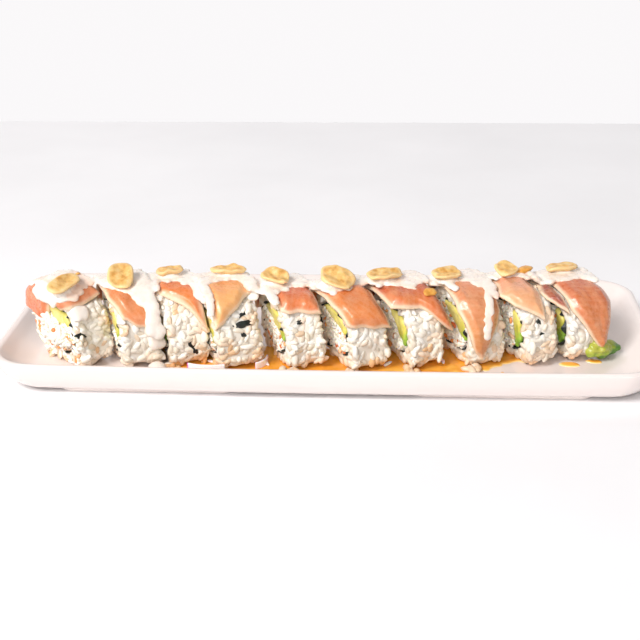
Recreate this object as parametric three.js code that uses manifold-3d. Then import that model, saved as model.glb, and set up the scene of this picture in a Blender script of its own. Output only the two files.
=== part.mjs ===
// A sliced uramaki roll on its long plate, in millimetres, +Z up.
// The origin is on the table under the middle of the plate; X runs along the plate and -Y is its front.
// Each slice is a ring of rice round crab and avocado, with fish and cream draped over it and a chip of garlic.
import * as THREE from "three";
import { mergeVertices } from "three/addons/utils/BufferGeometryUtils.js";
import Module from "manifold-3d";

const wasm = await Module();
wasm.setup();

// Plate
const PLATE = {
  length: 264,
  depth: 107,
  height: 14.6,
  floor: 5, // top of the well, above the table
  foot: 2.3,
  corner: 17,
  cornerLoss: 0.5, // how much tighter the corners get for each millimetre of inset
  leastCorner: 4,
  bow: 2.2, // how far the long sides swell at their middle
  endSlope: 1.15, // the end walls lean out this much more than the long ones
};
// The plate's wall as [inset from the rim outline, height], from the well over the rim and down to the base
const PLATE_WALL = [
  [14, PLATE.floor],
  [10.5, PLATE.floor + 0.9],
  [6.2, PLATE.floor + 4.3],
  [3.4, PLATE.height - 1.6],
  [2.3, PLATE.height - 0.3],
  [1, PLATE.height],
  [0.2, PLATE.height - 0.5],
  [0, PLATE.height - 1.5],
  [2.6, 6.8],
  [6.6, PLATE.foot],
];
const FOOT = { inner: 34, outer: 105, halfDepth: 44, corner: 6, sink: 1 };

// Roll
const REST = 0.3; // air left under and between the pieces
const ROLL = {
  halfDepth: 17.5,
  centre: 12.6, // height of the widest place above the plate
  above: 15.5, // from there up to the crown
  below: 12.6,
  squareAbove: 2.6, // exponents of the superellipse that makes each half: 2 is round
  squareBelow: 4.5,
  lean: 0.1, // the tops lie this much to the left for each millimetre of height
};
const BORE = { halfDepth: 12.9, centre: 13.7, above: 9.7, below: 9.7, squareAbove: 2.9, squareBelow: 2.9 };
const NORI_ROOM = 1; // a sheet of nori lines the bore
const GRAIN_RELIEF = 0.7; // rice grains stand this far in or out of the rice's surface
const CUT_ROUNDING = 1.4;
const RICE_SIDES = 26;

// Filling, as angles round the bore: the avocado lies along its upper front
const AVOCADO = { from: 72, to: 196, proud: 0.3 };
const FILLING_ROUNDING = 1.2; // its cut edges are eased by this much
const CRAB = { proud: 0.7, relief: 0.6 };
const SPLIT_ROOM = 0.5;

// Toppings
const FISH = { thickness: 2.6, edge: 1.3, relief: 0.2, rows: 13, columns: 7 };
const FACET_SAG = 0.3; // the facets of a bent sheet lie this far inside its curve
const FISH_LIFT = GRAIN_RELIEF + REST + FACET_SAG;
const CREAM = { thickness: 1.2, back: 13 };
const CHIP = { thickness: 1.4, flat: 0.85, curl: 0.8, sides: 12 }; // flat is the share inside the thin rim

// Slices from left to right. tall stretches a slice upwards, and turn rolls its filling to the front.
const SLICES = [
  { x: -102, y: -20, yaw: 46, thickness: 15, tall: 1.08, turn: 0 },
  { x: -77.8, y: -18.5, yaw: 24, thickness: 15.5, tall: 1.05, turn: 12 },
  { x: -59, y: -16, yaw: 22, thickness: 15.5, tall: 1.03, turn: 5 },
  { x: -38.7, y: -18, yaw: 23, thickness: 17.5, tall: 1.06, turn: 0 },
  { x: -12.8, y: -17, yaw: 25, thickness: 15, tall: 1, turn: -10 },
  { x: 11.6, y: -18, yaw: 27, thickness: 15.5, tall: 1.015, turn: -20 },
  { x: 34.2, y: -14.5, yaw: 27, thickness: 14.5, tall: 1.03, turn: 14 },
  { x: 58.2, y: -11.5, yaw: 26, thickness: 15, tall: 1.03, turn: 0 },
  { x: 79.6, y: -9.8, yaw: 25, thickness: 13.5, tall: 1.03, turn: 42 },
  { x: 97.4, y: -4.5, yaw: 25, thickness: 14, tall: 0.98, turn: 42 },
];
const FIRST_SPILL = 4; // the crab bulges this far out of the roll's first end

// The fish over each slice. hem is how far it hangs down the front, measured from the crown, at its left, middle
// and right; cream is the same for the cream on it, and back is how far it hangs behind. left and right are
// where its side edges lie, from -1 to 1 along the slice, at the crown, halfway down the front and at the hem.
const COVERS = [
  { hem: [15, 14, 12], cream: [8, 11, 9], back: 24, left: [-1.06, -1.06, -1.06], right: [1.06, 1.06, 1.06] },
  { hem: [19, 22, 26], cream: [3, 11, 24], back: 22, left: [-1.25, -1.2, -0.75], right: [1.06, 1.06, 1.06] },
  { hem: [6, 14, 24], cream: [1, 3, 9], back: 25, left: [-1.06, -1.06, -1.06], right: [1.05, 1.05, 1.05] },
  { hem: [22, 16, 9], cream: [3, 2, 5], back: 26, left: [-1.04, -1.04, -1.04], right: [1.06, 1.06, 1.06] },
  { hem: [14, 15.5, 17], cream: [5, 5, 4], back: 24, left: [-1.15, -1.15, -1.06], right: [1.1, 1.1, 1] },
  { hem: [19, 21, 22], cream: [5, 4, 3], back: 23, left: [-1.5, -1.5, -1.15], right: [0.9, 0.85, 1.15] },
  { hem: [12, 15, 25], cream: [1, 5, 5], back: 25, left: [-1.8, -1.85, -1.75], right: [1.1, 1.1, 1.5] },
  { hem: [29, 33, 35], cream: [1, 3, 16], back: 24, left: [-1.25, -1.5, -1.05], right: [1.06, 0.8, -0.55] },
  { hem: [13.5, 17, 20.5], cream: [-1, -1, 3], back: 22, left: [-1.5, -1.9, -1.4], right: [0.5, 0.45, 0.15] },
  { hem: [33, 34, 30], cream: [3, 4, 5], back: 26, left: [-0.8, -0.8, 0.7], right: [1.75, 1.9, 1.2] },
];
// The last slice has a second piece of fish beside the first
const UNDER_FISH = {
  hem: [9, 14, 18],
  cream: [3, 3, 3],
  back: 10,
  left: [-1.6, -1.9, -1.85],
  right: [-0.98, -0.96, -1],
};

// Garlic chips, one on each slice: its place along the slice from -1 to 1, its drop from the crown, its twist,
// how much steeper than the roll it leans to the front, how far it settles on the cream, and its size
const CHIPS = [
  { along: -0.8, drop: 7, twist: 18, tilt: 6, settle: 0.8, length: 15.5, width: 8 },
  { along: -0.3, drop: 4, twist: 70, tilt: 24, settle: 1.05, length: 13, width: 10 },
  { along: 0, drop: -1, twist: 2, tilt: -2, settle: 0.3, length: 12, width: 6.5 },
  { along: 0.45, drop: -1, twist: -14, tilt: 2, settle: 0.4, length: 14, width: 7 },
  { along: -0.55, drop: 0, twist: -40, tilt: 22, settle: 0.7, length: 11, width: 9 },
  { along: -0.6, drop: 1, twist: -32, tilt: 28, settle: 1.4, length: 14.5, width: 10.5 },
  { along: -1.05, drop: -1.5, twist: -4, tilt: 4, settle: 0.5, length: 14.5, width: 9 },
  { along: -1, drop: -0.5, twist: -4, tilt: 6, settle: 0.8, length: 12.5, width: 9 },
  { along: -0.5, drop: -2.5, twist: 30, tilt: 20, settle: 1.6, length: 9.5, width: 8.5 },
  { along: 0.4, drop: -3, twist: -8, tilt: 0, settle: 0.3, length: 13, width: 8.5 },
];

// What lies beside the roll
const CREAM_DROP = { x: -66.2, y: -36.2, radius: 4.3, height: 4.4 };
const ONION = [
  { x: -46.5, y: -36.8, length: 15, width: 4.6, bend: 1.6, turn: -3 },
  { x: -25.5, y: -28, length: 9, width: 3, bend: 1.4, turn: 64 },
];
const ONION_THICKNESS = 0.9;
const END_AVOCADO = { x: 113.9, y: -11.4, length: 9.8, width: 9, thickness: 6, bend: 1, blunt: 0.93, turn: 29 };

const COLOUR = {
  plate: "#f4f2f1",
  rice: "#ece6da",
  crab: "#f3dcc8",
  avocado: "#b5cf62",
  fish: "#dc8f6a",
  garlic: "#dfae5c",
  cream: "#f7f1ea",
  onion: "#f3e3e0",
};

const rad = THREE.MathUtils.degToRad;
const lerp = THREE.MathUtils.lerp;
const isOdd = (n) => n % 2 === 1;

// A seeded stream of numbers from -1 to 1, so that each piece keeps its own unevenness.
function unevenness(seed) {
  let state = seed * 7919 + 17;
  return () => {
    state = (state * 48271) % 2147483647;
    return (state / 2147483647) * 2 - 1;
  };
}

// A closed geometry from points and triangles, turned so that its faces point out.
function solid(points, triangles) {
  const volume = triangles.reduce(
    (sum, [a, b, c]) => sum + points[a].dot(points[b].clone().cross(points[c])),
    0,
  );
  const facingOut = volume < 0 ? triangles.map(([a, b, c]) => [a, c, b]) : triangles;
  const geometry = new THREE.BufferGeometry().setFromPoints(points);
  geometry.setIndex(facingOut.flat());
  geometry.computeVertexNormals();
  return geometry;
}

// The two triangles of a grid cell, with the diagonal turned in every other cell.
function cell(a, b, c, d, turned) {
  return turned ? [[a, b, c], [a, c, d]] : [[a, b, d], [b, c, d]];
}

// The triangles between closed rings of equal count, where ring r starts at point r * count.
function bands(from, to, count) {
  const triangles = [];
  for (let i = 0; i < count; i += 1) {
    const j = (i + 1) % count;
    const corners = [from * count + i, from * count + j, to * count + j, to * count + i];
    triangles.push(...cell(...corners, isOdd(i + from)));
  }
  return triangles;
}

// A closed body through rings laid from one end to the other, with a fan at each end.
function loft(rings) {
  const count = rings[0].length;
  const points = rings.flat();
  const triangles = [];
  for (let r = 0; r + 1 < rings.length; r += 1) triangles.push(...bands(r, r + 1, count));
  for (const [ring, outward] of [[0, false], [rings.length - 1, true]]) {
    const middle = rings[ring].reduce((sum, p) => sum.add(p), new THREE.Vector3()).divideScalar(count);
    const hub = points.push(middle) - 1;
    for (let i = 0; i < count; i += 1) {
      const a = ring * count + i;
      const b = ring * count + ((i + 1) % count);
      triangles.push(outward ? [a, b, hub] : [b, a, hub]);
    }
  }
  return solid(points, triangles);
}

// A body with a hole through it: the rings go once round its wall and the last joins the first.
function loftRound(rings) {
  const triangles = rings.flatMap((_, r) => bands(r, (r + 1) % rings.length, rings[0].length));
  return solid(rings.flat(), triangles);
}

// A sheet between two grids of rows and columns, closed round its edge.
function sheet(outer, inner) {
  const rows = outer.length;
  const columns = outer[0].length;
  const points = [...outer.flat(), ...inner.flat()];
  const under = rows * columns;
  const at = (r, c) => r * columns + c;
  const triangles = [];
  for (let r = 0; r + 1 < rows; r += 1) {
    for (let c = 0; c + 1 < columns; c += 1) {
      const corners = [at(r, c), at(r, c + 1), at(r + 1, c + 1), at(r + 1, c)];
      const face = cell(...corners, isOdd(r + c));
      triangles.push(...face, ...face.map(([i, j, k]) => [i + under, k + under, j + under]));
    }
  }
  const edge = [];
  for (let c = 0; c + 1 < columns; c += 1) edge.push(at(0, c));
  for (let r = 0; r + 1 < rows; r += 1) edge.push(at(r, columns - 1));
  for (let c = columns - 1; c > 0; c -= 1) edge.push(at(rows - 1, c));
  for (let r = rows - 1; r > 0; r -= 1) edge.push(at(r, 0));
  edge.forEach((a, i) => {
    const b = edge[(i + 1) % edge.length];
    triangles.push([b, a, a + under], [b, a + under, b + under]);
  });
  return solid(points, triangles);
}

// Joins geometries into one body.
function union(geometries) {
  const solids = geometries.map((geometry) => {
    const bare = geometry.clone().deleteAttribute("normal").deleteAttribute("uv");
    const merged = mergeVertices(bare, 1e-4);
    return new wasm.Manifold(
      new wasm.Mesh({
        numProp: 3,
        vertProperties: merged.attributes.position.array,
        triVerts: new Uint32Array(merged.index.array),
      }),
    );
  });
  const joined = solids.reduce((a, b) => a.add(b)).getMesh();
  const geometry = new THREE.BufferGeometry();
  geometry.setAttribute("position", new THREE.BufferAttribute(joined.vertProperties, 3));
  geometry.setIndex(new THREE.BufferAttribute(joined.triVerts, 1));
  geometry.computeVertexNormals();
  return geometry;
}

function named(name, geometry, colour, roughness) {
  const material = new THREE.MeshStandardMaterial({ color: colour, roughness, metalness: 0 });
  const mesh = new THREE.Mesh(geometry, material);
  mesh.name = name;
  return mesh;
}

function nodeName(kind, index) {
  return `${kind}_${String(index + 1).padStart(2, "0")}`;
}

// A rounded rectangle as a shape, its straight sides drawn with lines and its corners with arcs.
function roundedRectangle(length, depth, corner) {
  const x = length / 2 - corner;
  const y = depth / 2 - corner;
  const shape = new THREE.Shape();
  shape.absarc(x, y, corner, 0, rad(90));
  shape.absarc(-x, y, corner, rad(90), rad(180));
  shape.absarc(-x, -y, corner, rad(180), rad(270));
  shape.absarc(x, -y, corner, rad(270), rad(360));
  shape.closePath();
  return shape;
}

// One ring of the plate: the rim's outline set in by inset, with the same steps on every ring.
function plateRing(inset, height) {
  const halfLength = PLATE.length / 2 - inset * PLATE.endSlope;
  const halfDepth = PLATE.depth / 2 - PLATE.bow - inset;
  const corner = Math.max(PLATE.corner - inset * PLATE.cornerLoss, PLATE.leastCorner);
  const steps = { corner: 6, long: 9, short: 3 };
  const centres = [[1, 1, 0], [-1, 1, 90], [-1, -1, 180], [1, -1, 270]];
  const ring = [];
  centres.forEach(([sx, sy, start], i) => {
    const cx = sx * (halfLength - corner);
    const cy = sy * (halfDepth - corner);
    for (let k = 0; k <= steps.corner; k += 1) {
      const angle = rad(start + (90 * k) / steps.corner);
      ring.push(new THREE.Vector2(cx + corner * Math.cos(angle), cy + corner * Math.sin(angle)));
    }
    const [nx, ny, next] = centres[(i + 1) % centres.length];
    const to = new THREE.Vector2(
      nx * (halfLength - corner) + corner * Math.cos(rad(next)),
      ny * (halfDepth - corner) + corner * Math.sin(rad(next)),
    );
    const from = ring[ring.length - 1];
    const along = isOdd(i) ? steps.short : steps.long;
    for (let k = 1; k < along; k += 1) ring.push(from.clone().lerp(to, k / along));
  });
  return ring.map((p) => {
    const swell = PLATE.bow * (1 - (p.x / (PLATE.length / 2)) ** 2) * (p.y / halfDepth);
    return new THREE.Vector3(p.x, p.y + swell, height);
  });
}

function plate() {
  const body = loft(PLATE_WALL.map(([inset, height]) => plateRing(inset, height)));
  const pad = roundedRectangle(FOOT.outer - FOOT.inner, FOOT.halfDepth * 2, FOOT.corner);
  const feet = [-1, 1].map((side) => {
    const slab = { depth: PLATE.foot + FOOT.sink, bevelEnabled: false, curveSegments: 5 };
    return new THREE.ExtrudeGeometry(pad, slab).translate((side * (FOOT.inner + FOOT.outer)) / 2, 0, 0);
  });
  return named("plate", union([body, ...feet]), COLOUR.plate, 0.35);
}

// A point of a section in the plane across the roll, v to the back and z up, never below the plate.
function section(shape, angle, grow = 0) {
  const up = Math.sin(rad(angle));
  const [reach, square] = up < 0 ? [shape.below, shape.squareBelow] : [shape.above, shape.squareAbove];
  const bend = (value) => Math.sign(value) * Math.abs(value) ** (2 / square);
  return {
    v: (shape.halfDepth + grow) * bend(Math.cos(rad(angle))),
    z: Math.max(shape.centre + (reach + grow) * bend(up), 0),
  };
}

// Angles from one to another that cut a section into equal lengths.
function evenAngles(shape, from, to, count) {
  const fine = 720; // steps of half a degree or less
  const angles = Array.from({ length: fine + 1 }, (_, i) => lerp(from, to, i / fine));
  const points = angles.map((angle) => section(shape, angle));
  const lengths = [0];
  for (let i = 1; i <= fine; i += 1) {
    const step = Math.hypot(points[i].v - points[i - 1].v, points[i].z - points[i - 1].z);
    lengths.push(lengths[i - 1] + step);
  }
  return Array.from({ length: count + 1 }, (_, k) => {
    const wanted = (lengths[fine] * k) / count;
    return angles[lengths.findIndex((length) => length >= wanted - 1e-9)];
  });
}

// A point of a slice in its own frame: u along the roll, with the lean of the whole roll added.
function inSlice(u, { v, z }) {
  return new THREE.Vector3(u - ROLL.lean * z, v, z);
}

const CROWN = 90;
const FRONT = 180;

// A point over the roll, a given way down its front from the crown, or down its back if negative.
// What lies there follows the roll to its widest place and hangs straight down from it.
function drapedPoint(drop, grow) {
  let hanging = Math.abs(drop);
  let angle = CROWN;
  let last = section(ROLL, CROWN);
  while (hanging > 0 && angle < FRONT) {
    angle += 1;
    const next = section(ROLL, angle);
    hanging -= Math.hypot(next.v - last.v, next.z - last.z);
    last = next;
  }
  const { v, z } = section(ROLL, angle, grow);
  return { v: drop < 0 ? -v : v, z: z - Math.max(hanging, 0) };
}

// Straight lines through three values at the places -1, 0 and 1.
function between([first, middle, last], place) {
  return place < 0 ? lerp(middle, first, -place) : lerp(middle, last, place);
}

// The ring of rice: bumps the size of its grains all over, and a bore lined for the nori.
function riceRing(slice, index) {
  const bump = unevenness(index + 1);
  const half = slice.thickness / 2;
  const angles = evenAngles(ROLL, 0, 360, RICE_SIDES).slice(1);
  const outside = (u, grow) =>
    angles.map((angle) => {
      const point = section(ROLL, angle, grow + GRAIN_RELIEF * bump());
      return inSlice(u + 0.5 * GRAIN_RELIEF * bump(), point);
    });
  const faceMiddle = (u) =>
    angles.map((angle) => {
      const out = section(ROLL, angle, -CUT_ROUNDING);
      const inner = section(BORE, angle);
      return inSlice(u + GRAIN_RELIEF * bump(), { v: (out.v + inner.v) / 2, z: (out.z + inner.z) / 2 });
    });
  const boreEdge = (u) => angles.map((angle) => inSlice(u, section(BORE, angle)));
  const shoulder = half - CUT_ROUNDING;
  return loftRound([
    boreEdge(-half),
    faceMiddle(-half),
    outside(-half, -CUT_ROUNDING),
    outside(-shoulder, 0),
    outside(-shoulder / 3, 0),
    outside(shoulder / 3, 0),
    outside(shoulder, 0),
    outside(half, -CUT_ROUNDING),
    faceMiddle(half),
    boreEdge(half),
  ]);
}

// A piece of the filling that runs through the slice: part of the bore between two angles, closed by a chord.
function filling(slice, { from, to, proud, relief, steps, spill = 0 }, index) {
  const bump = unevenness(index + 101);
  const half = slice.thickness / 2;
  const angles = evenAngles(BORE, from + slice.turn, to + slice.turn, steps - 1);
  const ring = (u, grow) =>
    angles.map((angle) => inSlice(u + relief * bump(), section(BORE, angle, grow - NORI_ROOM)));
  return loft([
    ring(-half - proud - spill + relief, -FILLING_ROUNDING - spill),
    ring(-half - spill / 2 + relief, -spill / 4),
    ring(half - relief, 0),
    ring(half + proud - relief, -FILLING_ROUNDING),
  ]);
}

function avocado(slice, index) {
  return filling(slice, { ...AVOCADO, relief: 0, steps: 11 }, index);
}

function crab(slice, index) {
  const room = THREE.MathUtils.radToDeg(SPLIT_ROOM / BORE.above);
  const around = { from: AVOCADO.to + room, to: AVOCADO.from + 360 - room };
  const spill = index === 0 ? FIRST_SPILL : 0;
  return filling(slice, { ...CRAB, ...around, steps: 16, spill }, index);
}

// A piece of fish draped over a slice from behind, down to its hem in front, with the cream that lies on it.
function drapedFish(slice, { hem, cream, back, left, right }, index) {
  const wave = unevenness(index + 201);
  const half = slice.thickness / 2;
  const outer = [];
  const inner = [];
  for (let r = 0; r < FISH.rows; r += 1) {
    const outerRow = [];
    const innerRow = [];
    for (let c = 0; c < FISH.columns; c += 1) {
      const share = c / (FISH.columns - 1);
      const across = share * 2 - 1;
      const lowest = between(hem, across);
      const drop = lerp(-back, lowest, r / (FISH.rows - 1));
      const down = (2 * Math.max(drop, 0)) / lowest - 1;
      const u = half * lerp(between(left, down), between(right, down), share);
      const onEdge = r === 0 || c === 0 || r === FISH.rows - 1 || c === FISH.columns - 1;
      const creamed = drop > -CREAM.back && drop < between(cream, across);
      const flesh = onEdge ? FISH.edge : FISH.thickness + FISH.relief * wave();
      const top = FISH_LIFT + flesh + (creamed ? CREAM.thickness : 0);
      outerRow.push(inSlice(u, drapedPoint(drop, top)));
      innerRow.push(inSlice(u, drapedPoint(drop, FISH_LIFT)));
    }
    outer.push(outerRow);
    inner.push(innerRow);
  }
  return sheet(outer, inner);
}

// A fried garlic chip: an oval with a thin rim, its long sides curled up.
function garlicChip({ length, width }) {
  const { thickness, flat, curl, sides } = CHIP;
  const oval = (share, height) =>
    Array.from({ length: sides }, (_, i) => {
      const angle = rad((360 * i) / sides);
      const across = share * Math.sin(angle);
      const x = (length / 2) * share * Math.cos(angle);
      return new THREE.Vector3(x, (width / 2) * across, height + curl * across ** 2);
    });
  const under = -thickness / 2;
  const over = thickness / 2;
  return loft([oval(flat / 2, under), oval(flat, under), oval(1, 0), oval(flat, over), oval(flat / 2, over)]);
}

// Sets a chip on the cream of its slice, at its drop from the crown, leaning on its front edge.
function placeChip(mesh, slice, { along, drop, twist, tilt, settle, width }) {
  const raised = (width / 2) * Math.abs(Math.sin(rad(tilt)));
  const lift = FISH_LIFT + FISH.thickness + CREAM.thickness + CHIP.thickness / 2 + 2 * REST + raised - settle;
  const behind = drapedPoint(drop - 1, lift);
  const below = drapedPoint(drop + 1, lift);
  const slope = Math.atan2(behind.z - below.z, behind.v - below.v);
  mesh.position.copy(inSlice((along * slice.thickness) / 2, drapedPoint(drop, lift)));
  mesh.rotation.set(slope + rad(tilt), 0, rad(twist));
}

function slicedRoll() {
  const roll = new THREE.Group();
  SLICES.forEach((slice, i) => {
    const group = new THREE.Group();
    group.position.set(slice.x, slice.y, PLATE.floor + REST);
    group.rotation.z = rad(slice.yaw);
    group.scale.z = slice.tall;
    group.add(
      named(nodeName("rice", i), riceRing(slice, i), COLOUR.rice, 0.55),
      named(nodeName("crab", i), crab(slice, i), COLOUR.crab, 0.6),
      named(nodeName("avocado", i), avocado(slice, i), COLOUR.avocado, 0.45),
      named(nodeName("fish", i), drapedFish(slice, COVERS[i], i), COLOUR.fish, 0.3),
    );
    if (i === SLICES.length - 1) {
      group.add(named("fish_under", drapedFish(slice, UNDER_FISH, SLICES.length), COLOUR.fish, 0.3));
    }
    const chip = named(nodeName("garlic", i), garlicChip(CHIPS[i]), COLOUR.garlic, 0.5);
    placeChip(chip, slice, CHIPS[i]);
    group.add(chip);
    roll.add(group);
  });
  return roll;
}

// A drop of cream on the plate: a dome with a foot that spreads.
function creamDrop() {
  const { radius, height } = CREAM_DROP;
  const profile = [
    new THREE.Vector2(0, 0),
    new THREE.Vector2(radius * 0.92, 0),
    new THREE.Vector2(radius, height * 0.25),
    new THREE.Vector2(radius * 0.78, height * 0.72),
    new THREE.Vector2(radius * 0.4, height * 0.95),
    new THREE.Vector2(0, height),
  ];
  const mesh = named("cream_drop", new THREE.LatheGeometry(profile, 14).rotateX(rad(90)), COLOUR.cream, 0.35);
  mesh.position.set(CREAM_DROP.x, CREAM_DROP.y, PLATE.floor + REST);
  return mesh;
}

// A ribbon of onion on edge along an arc.
function onionRibbon({ x, y, length, width, bend, turn }, index) {
  const path = new THREE.QuadraticBezierCurve3(
    new THREE.Vector3(-length / 2, 0, 0),
    new THREE.Vector3(0, -bend * 2, 0),
    new THREE.Vector3(length / 2, 0, 0),
  );
  const strip = new THREE.Shape([
    new THREE.Vector2(-width / 2, -ONION_THICKNESS / 2),
    new THREE.Vector2(width / 2, -ONION_THICKNESS / 2),
    new THREE.Vector2(width / 2, ONION_THICKNESS / 2),
    new THREE.Vector2(-width / 2, ONION_THICKNESS / 2),
  ]);
  const geometry = new THREE.ExtrudeGeometry(strip, { steps: 8, extrudePath: path });
  geometry.computeBoundingBox();
  const mesh = named(nodeName("onion", index), geometry, COLOUR.onion, 0.35);
  mesh.position.set(x, y, PLATE.floor + REST - geometry.boundingBox.min.z);
  mesh.rotation.z = rad(turn);
  return mesh;
}

// A wedge of avocado that has slipped out of the last slice: its section shrinks towards both tips.
function endAvocado() {
  const { length, width, thickness, bend, blunt } = END_AVOCADO; // blunt is where an ellipse is cut off
  const stations = [-1, -0.75, -0.3, 0.3, 0.75, 1];
  const sides = 10;
  const rings = stations.map((along) => {
    const size = Math.sqrt(1 - (blunt * along) ** 2);
    return Array.from({ length: sides }, (_, i) => {
      const angle = (360 * i) / sides;
      const across = (width / 2) * size * Math.cos(rad(angle));
      const up = (thickness / 2) * size * Math.sin(rad(angle)) + thickness / 2;
      return new THREE.Vector3((along * length) / 2, across - bend * along ** 2, up);
    });
  });
  const mesh = named("avocado_end", loft(rings), COLOUR.avocado, 0.45);
  mesh.position.set(END_AVOCADO.x, END_AVOCADO.y, PLATE.floor + REST);
  mesh.rotation.z = rad(END_AVOCADO.turn);
  return mesh;
}

const uramaki = new THREE.Group();
uramaki.add(plate(), slicedRoll(), creamDrop(), ...ONION.map(onionRibbon), endAvocado());

export default uramaki;
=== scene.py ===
"""Dresses an uramaki roll, cut into ten slices on a long glazed plate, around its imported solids.

Every size is in millimetres until a mesh is made, and every given angle is in degrees. A slice has its
own frame: u runs along the roll's axis, v from front (minus) to back, and z up from the plate.
"""

import logging
import math
from abc import ABC, abstractmethod
from dataclasses import dataclass, field
from enum import Enum
from typing import Any, Sequence

import bmesh
import bpy
import numpy as np
from mathutils import Matrix, Vector


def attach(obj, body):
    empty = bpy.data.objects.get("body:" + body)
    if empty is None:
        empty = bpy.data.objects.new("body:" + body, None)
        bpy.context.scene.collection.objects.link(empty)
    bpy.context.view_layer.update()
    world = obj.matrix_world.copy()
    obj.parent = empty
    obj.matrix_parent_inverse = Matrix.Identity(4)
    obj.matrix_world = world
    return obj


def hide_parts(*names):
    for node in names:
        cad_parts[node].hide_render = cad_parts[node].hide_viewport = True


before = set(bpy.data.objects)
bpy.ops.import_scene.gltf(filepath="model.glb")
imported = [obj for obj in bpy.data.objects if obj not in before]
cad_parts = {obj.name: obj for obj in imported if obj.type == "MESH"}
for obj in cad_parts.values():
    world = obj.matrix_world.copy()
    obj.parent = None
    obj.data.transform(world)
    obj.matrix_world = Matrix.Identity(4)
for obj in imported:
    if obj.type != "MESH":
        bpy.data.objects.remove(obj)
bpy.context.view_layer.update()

log = logging.getLogger("uramaki")

MM = 0.001
BODY = "root"
# How much one pass of smoothing moves a point, as a share of the way to its neighbours' middle.
EASE = 0.5
# The end rings of a pebble stand this far from its tips, in radians.
PEBBLE_CAP = 0.14
PEBBLE_UNEVEN = 0.09

Pair = tuple[float, float]
Span = tuple[float, float, float]
Numbers = float | np.ndarray
Tree = bpy.types.NodeTree
Socket = bpy.types.NodeSocket
Constants = dict[str, Any]


class Slot(Enum):
    """The record's material slots."""

    GLAZE = "glaze"
    RICE = "rice"
    CRAB = "crab"
    AVOCADO = "avocado"
    FISH = "fish"
    GARLIC = "garlic"
    CREAM = "cream"
    ONION = "onion"
    NORI = "nori"
    PONZU = "ponzu"


class Ends(Enum):
    """How the first and the last ring of a loft are shut."""

    LOOPED = "the last ring meets the first"
    FLAT = "one flat face over each end"
    STRIP = "each end is a slit, shut across its width"


def linear(colour: str) -> tuple[float, float, float, float]:
    """Turns an sRGB hex colour to linear.

    Args:
        colour: The colour as "#rrggbb".

    Returns:
        Linear red, green, blue and an alpha of 1.
    """
    channels = [int(colour[i : i + 2], 16) / 255 for i in (1, 3, 5)]
    red, green, blue = (c / 12.92 if c <= 0.04045 else ((c + 0.055) / 1.055) ** 2.4 for c in channels)
    return red, green, blue, 1.0


def per_mm(size: float) -> float:
    """The texture scale at which one feature is that many millimetres, in metres of object space."""
    return 1 / (size * MM)


def add(tree: Tree, kind: str, inputs: dict[Any, Any] | None = None, **settings: Any) -> bpy.types.Node:
    """Adds one node with its settings and links.

    Args:
        tree: The material's nodes.
        kind: The node's type.
        inputs: A socket to link from, or a constant, for each named or numbered input.
        **settings: Properties of the node.

    Returns:
        The new node.
    """
    node = tree.nodes.new(kind)
    for name, value in settings.items():
        setattr(node, name, value)
    for key, value in (inputs or {}).items():
        if isinstance(value, Socket):
            tree.links.new(value, node.inputs[key])
        else:
            node.inputs[key].default_value = value
    return node


def waves(points: np.ndarray, size: float, seed: int) -> np.ndarray:
    """Smooth unevenness, made of a few sine waves in random directions.

    Args:
        points: Where it is read, one row a point.
        size: The usual length of a wave, in the points' own unit.
        seed: Which unevenness it is.

    Returns:
        One value a point, mostly from -1 to 1.
    """
    draw = np.random.default_rng(seed)
    count = 8
    ways = draw.normal(size=(count, points.shape[1]))
    ways /= np.linalg.norm(ways, axis=1, keepdims=True)
    ways /= (size * draw.uniform(0.7, 1.6, count))[:, None]
    phases = draw.uniform(0, 2 * math.pi, count)
    return np.sin(2 * math.pi * points @ ways.T + phases).sum(axis=1) / math.sqrt(count)


def smoothstep(low: float, high: float, value: np.ndarray) -> np.ndarray:
    """Eases from 0 at low to 1 at high."""
    t = np.clip((value - low) / (high - low), 0, 1)
    return t * t * (3 - 2 * t)


def unit(vectors: np.ndarray) -> np.ndarray:
    """The same directions at length 1."""
    return vectors / np.maximum(np.linalg.norm(vectors, axis=-1, keepdims=True), 1e-9)


def upward(count: int) -> np.ndarray:
    """As many directions straight up, one a row."""
    return np.tile([0.0, 0.0, 1.0], (count, 1))


@dataclass
class Shape:
    """Points in millimetres, the faces between them, and values that materials read at the points."""

    points: np.ndarray
    faces: list[np.ndarray]
    fields: dict[str, np.ndarray] = field(default_factory=dict)

    def normals(self) -> np.ndarray:
        """The outward direction at each point, from the faces round it."""
        total = np.zeros_like(self.points)
        for block in self.faces:
            across = self.points[block[:, 2]] - self.points[block[:, 0]]
            along = self.points[block[:, -1]] - self.points[block[:, 1]]
            turned = np.cross(across, along)
            for corner in range(block.shape[1]):
                np.add.at(total, block[:, corner], turned)
        return unit(total)

    def mesh(self, name: str) -> bpy.types.Mesh:
        """Makes a smooth mesh in metres, with every face turned outwards.

        Args:
            name: The mesh's name.

        Returns:
            The mesh, with the fields as attributes of its points.
        """
        mesh = bpy.data.meshes.new(name)
        faces = [face for block in self.faces for face in block.tolist()]
        mesh.from_pydata((self.points * MM).tolist(), [], faces)
        for label, values in self.fields.items():
            kind, key = ("FLOAT", "value") if values.ndim == 1 else ("FLOAT_VECTOR", "vector")
            attribute = mesh.attributes.new(label, kind, "POINT")
            attribute.data.foreach_set(key, values.astype(np.float32).ravel())
        skin = bmesh.new()
        skin.from_mesh(mesh)
        bmesh.ops.recalc_face_normals(skin, faces=skin.faces)
        skin.to_mesh(mesh)
        skin.free()
        mesh.shade_smooth()
        return mesh


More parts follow.
